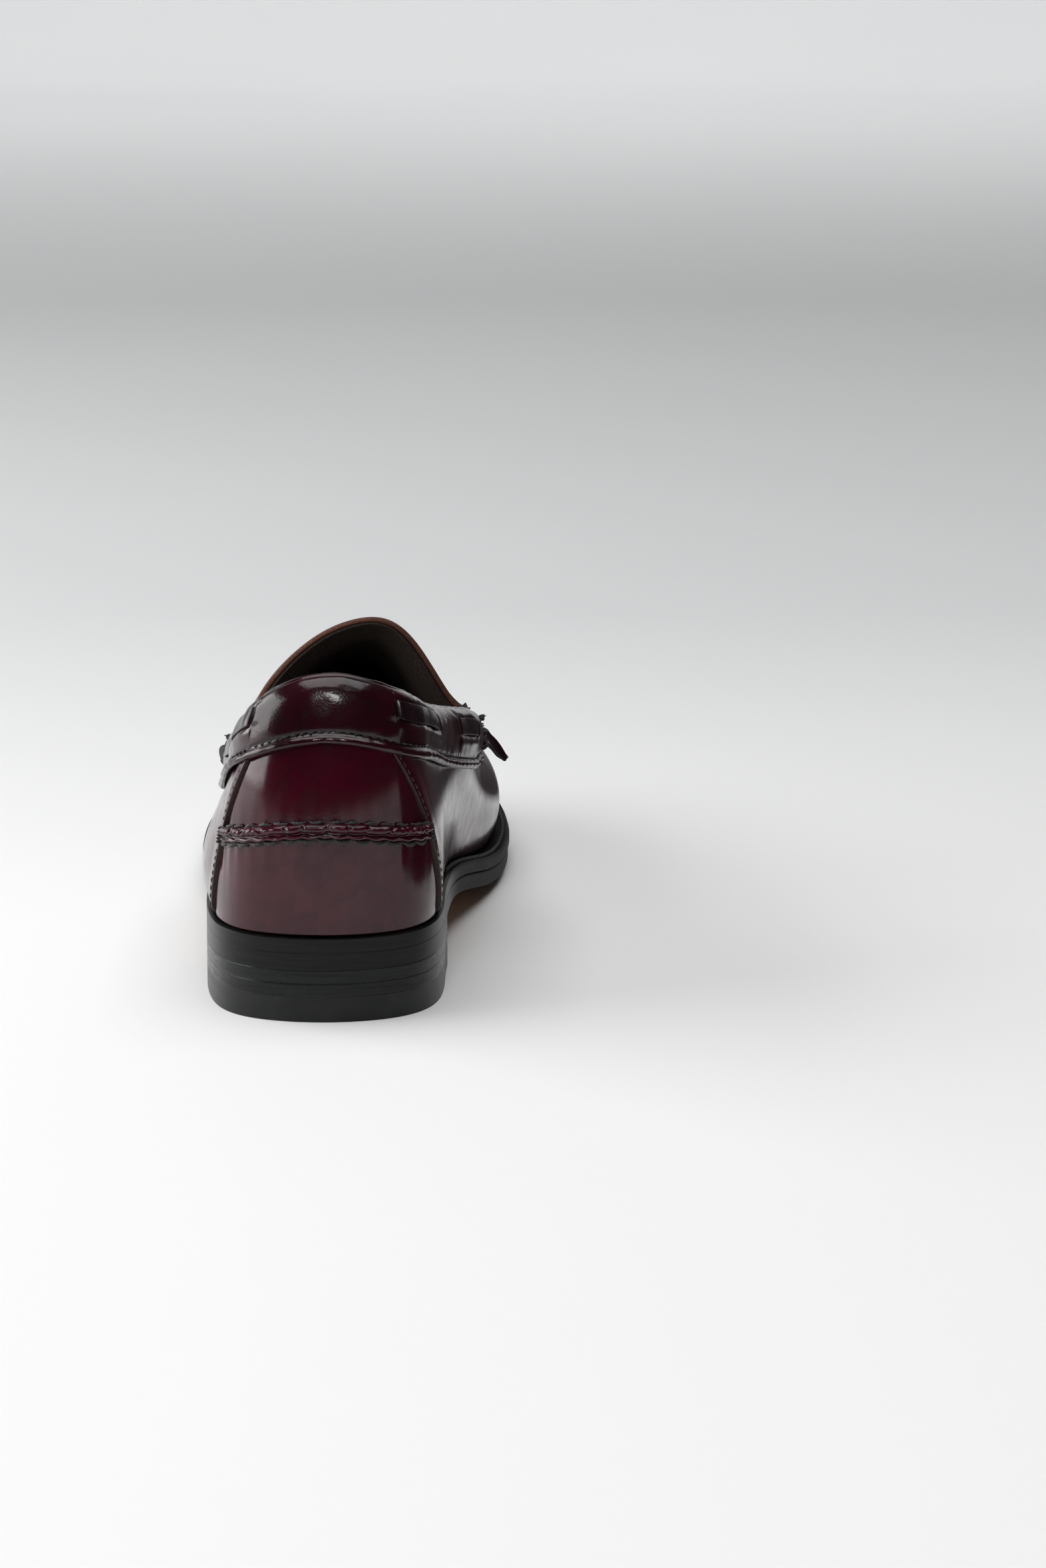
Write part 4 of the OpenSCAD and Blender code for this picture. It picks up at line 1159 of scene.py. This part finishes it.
def make_lace_end(u, off, swing, name):
    """A loose end of the lace: it leaves the roll, turns over once and is cut to a point."""
    root = wall(u, 0.86, off)
    droop, turn = math.radians(38), math.radians(swing)
    spin = np.array([[math.cos(turn), -math.sin(turn), 0], [math.sin(turn), math.cos(turn), 0], UP])
    ahead = spin @ [0, -math.cos(droop), -math.sin(droop)]
    flat = spin[:, 0]
    tall = np.cross(ahead, flat)
    t = np.linspace(-0.16, 1, 60)
    length = 13.0
    width = 1.75 * ease(-0.2, 0.3, t) * (1 - ease(0.5, 1.02, t)) + 0.35 + 0.35 * ease(-0.1, 0.1, t)
    grid = []
    across = join([-1, -0.97, -0.9], np.linspace(-0.8, 0.8, 9), [0.9, 0.97, 1])[:, None]
    for k, w in zip(t, width):
        roll = 0.75 * math.sin(3.2 * max(k, 0)) - 0.35 * k
        centre = root + ahead * k * length + flat * 0.7 * math.sin(4 * k) - UP * 1.1 * k**2
        direction = tall * math.cos(roll) + flat * math.sin(roll)
        cup = np.cross(ahead, direction)
        grid.append(centre + direction * w * across + cup * 0.25 * w * across**2)
    grid = np.array(grid)
    grid = grid + normals(grid) * 0.5
    shape = Shape()
    sheet(shape, grid, LACE_T, edge=0.2, lift=0.04 * ripple(grid, 3, 30))
    piece = shape.build(name + "_strip", LACE, [name], body=None)
    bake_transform(piece)


# ---------------------------------------------------------------- back of the shoe

SCALLOP = 4.5


def roll_run(u):
    """Distance in mm along the heel roll from the middle of the heel."""
    table = np.linspace(-2.4, 2.4, 900)
    path = skin(table, ROLL_AT)
    run = run_along(path)
    run -= np.interp(0.0, table, run)
    return np.interp(u, table, run)


def make_heel_panel(node, low, high, below):
    """A panel between the side seams, wrinkled where the roll draws it up."""
    xs = lines(lambda x: skin(x * SEAM_START, 0.4), -1, 1, 0.8, 0.3)
    ys = lines(lambda y: skin(0.0, y), low, high, 0.55, 0.25)
    x, y = np.meshgrid(xs, ys, indexing="ij")
    u = x * (seam_u(y, x > 0) + 0.045)
    grid = skin(u, y)
    run = roll_run(u)
    height = wall_height(u) * (panel_top(u) - BOTTOM_ROW)
    gap = (ROLL_AT - y) * height if below else (y - ROLL_AT) * height
    wave = (run / SCALLOP + 0.5) % 1 - 0.5
    radius = np.hypot(wave * SCALLOP, gap - 1.5)
    strength = 0.17 if below else 0.07
    fine = strength * np.sin(2 * np.pi * radius / 1.05) * np.exp(-np.maximum(gap - 2.4, 0) / 1.5)
    gathers = -0.24 * np.cos(2 * np.pi * run / SCALLOP) * np.exp(-gap / 4.5) * (1.0 if below else 0.4)
    lift = fine + gathers + 0.1 * ripple(grid, 24, 12)
    tucked = (1 - np.abs(x)) * SEAM_START / reach(SEAM_START, 1.0)
    lift = lift - 0.45 * (1 - ease(0.2, 3.0, tucked))
    # Painted shade on the lower panel just under the heel roll.
    dark = 0.5 * hump(gap - 2.2, 0.6) * below
    sheet_piece(node + "_leather", node, UPPER, grid, UPPER_T, lift=lift, edge=0.25, dark=dark)


def roll_point(u, h, o):
    """A point h mm above the middle of the heel roll and o mm out from the wall."""
    v = lerp(BOTTOM_ROW, panel_top(u), ROLL_AT) + h / wall_height(u)
    return wall(u, v, o)


def make_heel_roll():
    """The gathered roll of leather across the back of the heel."""
    start, end = -float(seam_u(ROLL_AT, False)) - 0.07, float(seam_u(ROLL_AT, True)) + 0.07
    us = lines(lambda u: skin(u, ROLL_AT), start, end, 0.32, 0.9)
    upper = np.radians(np.linspace(112, -58, 20))
    lower = np.radians(np.linspace(52, -108, 14))
    h = join(1.05 + 1.28 * np.sin(upper), -1.05 + 0.82 * np.sin(lower))[::-1]
    o = join(0.25 + 1.95 * np.cos(upper), 0.1 + 1.5 * np.cos(lower))[::-1]
    u, h = np.meshgrid(us, h, indexing="ij")
    o = np.repeat(o[None], len(us), 0)
    run = roll_run(u)
    # The section is a big bulge above a small one. Random pinches and slanted pleats draw it in.
    is_upper = ease(-0.35, 0.15, h)
    local = np.random.default_rng(5)
    pinch = np.zeros_like(run)
    for centre in np.arange(-27, 28, 5.4):
        centre += local.uniform(-0.9, 0.9)
        slant = local.uniform(-0.35, 0.35) + 0.7 * ease(4, 22, abs(centre)) * np.sign(centre)
        depth = local.uniform(0.7, 1.0)
        pinch += depth * hump(run - centre - slant * (h - 1.2), 0.42 + 0.16 * (h < 1))
    folds = np.cos(2 * np.pi * (run + 0.8 * h * np.sign(run)) / SCALLOP)
    pleats = np.sin(2 * np.pi * (run * 0.62 + 0.5 * h * np.sign(run))) * ease(12, 24, np.abs(run))
    o = o * (1 - 0.36 * np.clip(pinch, 0, 1) * is_upper)
    o = o + is_upper * 0.16 * pleats - (1 - is_upper) * 0.14 * folds * ease(-0.4, -1.2, h)
    h = h + (1 - is_upper) * 0.15 * folds + is_upper * 0.12 * np.sin(run * 0.9)
    taper = ease(0, 3.0, np.minimum(roll_run(end) - run, run - roll_run(start)))
    o = lerp(0.5, o, 0.35 + 0.65 * taper)
    h = lerp(h * 0.72, h, taper)
    grid = roll_point(u, h, o)
    lift = 0.07 * ripple(grid, 3.2, 17) + 0.05 * ripple(grid, 1.5, 18)
    inner = roll_point(u, h * 0.96, 0.2)
    outer = grid + normals(grid) * lift[..., None]
    section = join(outer, inner[:, ::-1], axis=1)
    # Painted shade in the groove between the two lips and in the pinches of the upper lip.
    dark = np.clip(hump(h + 0.32, 0.2) + 0.4 * pinch * is_upper, 0, 1)
    shape = Shape()
    shape.add(section, capped_faces(*section.shape[:2]), dark=join(dark, np.zeros_like(h), axis=1))
    shape.build("heel_roll_leather", UPPER, ["heel_roll"])


def make_heel_roll_thread():
    """Thick waxed thread that gathers the roll: short stitches above it and hanging loops below."""
    shape = Shape()
    start, end = 0.02 - float(seam_u(ROLL_AT, False)), float(seam_u(ROLL_AT, True)) - 0.02
    table = np.linspace(start, end, 900)
    first, last = int(roll_run(start) / SCALLOP), int(roll_run(end) / SCALLOP)
    runs = roll_run(table)
    points = []
    for k in np.arange(first, last + 1):
        centre = k * SCALLOP + rng.uniform(-0.25, 0.25)
        half = SCALLOP * 0.46
        t = np.linspace(-1, 1, 15)
        u = np.interp(centre + half * t, runs, table)
        sag = -1.9 - (0.5 + rng.uniform(-0.15, 0.2)) * (1 - t**2)
        path = roll_point(u, sag, 0.5 + 0.35 * (1 - t**2))
        tube(shape, path, 0.5 * (0.55 + 0.5 * (1 - t**2)), sides=10, twist=0.42)
        points.append(path[3:12:2])
        u = np.interp(centre + SCALLOP * 0.5 + half * 0.85 * t, runs, table)
        path = roll_point(u, 2.42 + 0.16 * np.sin(3 * t + k), 0.3 + 0.4 * (1 - t**2))
        tube(shape, path, 0.46 * (0.6 + 0.45 * (1 - t**2)), sides=10, twist=0.42)
        points.append(path[3:12:3])
    points = np.concatenate(points)
    back = outward(points, points * [0, 0, 1] + np.array([0, 80.0, 0]))
    pick = rng.random(len(points)) < 0.75
    fuzz(shape, points[pick], back[pick], 1.1, 0.045)
    for side, limit in ((-1, start), (1, end)):
        u = limit + 0.03 * side
        for k in range(5):
            t = np.linspace(0, 1, 9)
            h = lerp(2.2 - k, 1.6 - 0.8 * k, t)
            path = roll_point(u + side * 0.012 * (k - 2 + 2 * t), h, 1.1 + 0.5 * np.sin(np.pi * t))
            tube(shape, path, 0.38, sides=8, twist=0.4)
    shape.build("heel_roll_stitches", THREAD, ["heel_roll_thread"])


def make_side_seams():
    """Rows of fine stitches down the two side seams, broken where the heel roll crosses them."""
    shape = Shape()
    for side in (-1, 1):
        for low, high in ((0.03, ROLL_AT - 0.07), (ROLL_AT + 0.07, 0.86)):

            def surface(y, off, side=side):
                u = seam_u(y, side > 0) + 0.012
                u = side * (u + reach(u, SIDE_STITCH_IN))
                return skin(u, y, off + 0.75)

            look = {"radius": 0.2, "rise": 0.1, "sink": 0.5, "twist": 0.5}
            stitch_row(shape, surface, low, high, 2.5, share=0.74, jitter=0.15, **look)
            ys = rng.uniform(low, high, 8)
            fuzz(shape, surface(ys, 0.1), outward(surface(ys, 1.0), surface(ys, 0.0)), 0.7, 0.04)
    shape.build("side_seam_stitches", THREAD, ["side_seam_thread"])


# ---------------------------------------------------------------- inside


def make_lining():
    """The black lining stands inside the upper, all the way round."""
    us = foot_lines(1.8)
    d = from_heel(us)
    top = lerp(1 - 6 / wall_height(us), 0.8, np.clip((d - 3.75) / 0.25, 0, 1))
    k = join(np.linspace(0, 0.97, 26), [0.985, 0.995, 1.0])
    v = lerp(0.03, top[:, None], k[None])
    grid = wall(us[:, None], v, -3.3)
    lift = 0.12 * ripple(grid, 18, 23)[:, ::-1]
    sheet_piece("lining_leather", "lining", INSIDE, grid[:, ::-1], 0.7, lift=lift, edge=0.25, loop=True)


def make_sock():
    """The black sock covers the insole."""
    u = 4.5 - 4.3 * np.cos(np.linspace(0, np.pi, 130))
    across = 0.5 - 0.5 * np.cos(np.linspace(0, np.pi, 44))
    off = -3.6
    left, right = sole_point(u, off, 3.7), sole_point(COUNT - u, off, 3.7)
    grid = lerp(left[:, None], right[:, None], across[None, :, None])
    near = edge_distance(grid)
    lift = 0.1 * ripple(grid, 22, 33) - 0.15 * hump(near - 2.5, 0.5) - 0.25 * np.exp(-near / 6)
    sheet_piece("sock_leather", "sock_lining", INSIDE, grid, 1.15, lift=lift)


make_welt()
make_outsole()
make_heel()
make_vamp()
make_apron()
make_moccasin_stitches()
roll_thread = make_strap()
make_tongue()
for roll_u, label in ((ROLL_U, "medial"), (COUNT - ROLL_U, "lateral")):
    make_beefroll(roll_u, label, roll_thread)
roll_thread.build("strap_and_roll_thread", THREAD, ["beefroll_thread"])
make_collar()
make_lace()
make_lace_end(ROLL_U + 0.1, 2.5, -38, "lace_end_medial")
make_lace_end(COUNT - ROLL_U - 0.1, 3.5, 0, "lace_end_lateral")
make_heel_panel("heel_panel_lower", 0.0, ROLL_AT, True)
make_heel_panel("heel_panel_upper", ROLL_AT, 1.0, False)
make_heel_roll()
make_heel_roll_thread()
make_side_seams()
make_lining()
make_sock()
CARRIED = {"heel_nails": BRASS, "cork_filler": CORK, "shank": STEEL, "insole": BOARD}
CARRIED.update({"collar_padding": FOAM, "heel_counter": STIFFENER, "toe_puff": STIFFENER})
for node, material in CARRIED.items():
    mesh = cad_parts[node].data
    mesh.materials.clear()
    mesh.materials.append(material)


# ---------------------------------------------------------------- studio


def stage_sheet(name, grid, material):
    """Adds a surface of the studio through a grid of points, in metres."""
    grid = np.array(grid)
    faces = grid_faces(*grid.shape[:2])[..., [0, 3, 2, 1]]
    mesh = bpy.data.meshes.new(name)
    mesh.from_pydata(grid.reshape(-1, 3).tolist(), [], faces.reshape(-1, 4).tolist())
    mesh.materials.append(material)
    piece = bpy.data.objects.new(name, mesh)
    bpy.context.scene.collection.objects.link(piece)
    return piece


def make_floor():
    """White paper that curves up behind the toe. Its colour is painted darker away from the camera, as
    painted shade, and its far parts glow for the camera, as painted light. All other rays see it painted
    nearly black towards the camera and in a strip beside the shoe: a painted dark room, and the painted
    shade of a second shoe on it.
    """
    f = Finish("studio_floor")
    camera_ray = f.camera_ray()
    unseen = f.math("SUBTRACT", 1.0, camera_ray)
    across, ahead, _ = f.split()
    # Painted shade: the paper gets darker away from the camera.
    tone = f.mix(f.remap(ahead, -0.42, 0.02), (0.62, 0.625, 0.63), (0.80, 0.80, 0.80))
    tone = f.mix(f.remap(f.noise(3.0, 2.0), 0.3, 0.7, 0.0, 0.03), tone, (1.0, 1.0, 1.0))
    # Painted reflection and shade: rays other than the camera's see the floor nearly black towards the
    # camera and in a strip beside the shoe, standing in for a dark room and the shade of a second shoe.
    beside = f.math("MULTIPLY", f.remap(across, -0.03, -0.055), f.remap(ahead, -0.122, -0.155))
    beside = f.math("MULTIPLY", beside, f.remap(ahead, -0.52, -0.38))
    room = f.math("MULTIPLY", unseen, f.math("MAXIMUM", f.remap(ahead, 0.3, 0.52), beside))
    f.set(Base_Color=f.mix(room, tone, (0.03, 0.03, 0.03)), Roughness=0.9, Specular_IOR_Level=0.1)
    # Painted light: the far parts of the paper glow for camera rays only.
    far = f.math("MAXIMUM", f.remap(f.math("ABSOLUTE", across), 0.7, 2.4), f.remap(ahead, 0.9, 2.3))
    glow = f.math("MULTIPLY", f.math("MULTIPLY", camera_ray, far), FAR_GLOW)
    f.set(Emission_Color=STUDIO_WHITE, Emission_Strength=glow)
    depth = [(2.6, 0.0), (-1.6, 0.0), (-2.4, 0.0), (-3.0, 0.12), (-3.4, 0.45), (-3.6, 1.0), (-3.6, 3.5)]
    grid = [[(x, y, z) for x in (-4, 4)] for y, z in smooth_curve(depth, 60)]
    floor = stage_sheet("studio_floor", grid, f.material)
    floor.data.polygons.foreach_set("use_smooth", [True] * len(floor.data.polygons))


def make_painted_reflection_card():
    """A dark card beside the shoe that only reflections see, as tall and as near as a second shoe: a painted
    dark reflection that stands in for that shoe.
    """
    f = Finish("dark_card")
    # Painted reflection: a near-black colour that only glossy rays see.
    f.set(Base_Color=f.mix(f.noise(30.0), (0.012, 0.006, 0.008), (0.02, 0.012, 0.014)), Roughness=0.8)
    line = [(-0.125, 0.15), (-0.1, 0.1), (-0.098, 0.0), (-0.094, -0.06), (-0.1, -0.12)]
    grid = [[(x, y, z) for z in (0.004, 0.05, 0.085)] for x, y in line]
    card = stage_sheet("dark_card", grid, f.material)
    card.visible_camera = card.visible_diffuse = card.visible_shadow = False


def make_softbox(name, place, aim, width, height, power):
    light = bpy.data.lights.new(name, "AREA")
    light.shape, light.size, light.size_y = "RECTANGLE", width, height
    light.energy = power
    lamp = bpy.data.objects.new(name, light)
    lamp.location = place
    lamp.rotation_euler = (Vector(aim) - Vector(place)).to_track_quat("-Z", "Y").to_euler()
    bpy.context.scene.collection.objects.link(lamp)


def make_world():
    """The camera sees an even backdrop. Everything else sees a dark room that is lit from the toe's side."""
    world = bpy.data.worlds.new("studio")
    world.use_nodes = True
    f = Nodes(world.node_tree, "Generated")
    room = f.remap(f.split()[1], -0.97, -0.6, 1.0, 0.03, interpolation_type="SMOOTHSTEP")
    level = f.node("ShaderNodeMix", {"Factor": f.camera_ray(), 2: room, 3: 0.75}).outputs[0]
    backdrop = f.tree.nodes["Background"]
    f.wire(backdrop.inputs["Color"], STUDIO_WHITE)
    f.wire(backdrop.inputs["Strength"], level)
    bpy.context.scene.world = world
    bpy.context.scene.view_settings.view_transform = "Standard"


def make_camera():
    camera = bpy.data.cameras.new("camera")
    camera.lens, camera.sensor_width = 132.0, 36.0
    view = bpy.data.objects.new("camera", camera)
    view.location = (-0.0465, 1.5256, 0.377)
    view.rotation_euler = (math.radians(90 - 12.681), 0, math.pi)
    bpy.context.scene.collection.objects.link(view)
    bpy.context.scene.camera = view


# STUDIO_WHITE is also the colour of the floor's painted glow. FAR_GLOW is the strength of that painted
# light.
STUDIO_WHITE, FAR_GLOW = (0.97, 0.99, 1.0, 1.0), 0.72
make_floor()
make_painted_reflection_card()
make_softbox("outer_box", (1.15, -0.08, 0.44), (0, 0.05, 0.05), 1.6, 0.85, 20)
make_softbox("top_box", (0.0, 0.15, 2.2), (0, 0.15, 0), 2.4, 2.0, 41)
make_softbox("key_box", (0.06, 1.75, 1.1), (0, 0.1, 0.05), 0.46, 0.36, 9)
make_softbox("back_box", (0.0, -1.9, 1.5), (0, -3.4, 0.8), 3.0, 1.0, 42)
make_world()
make_camera()
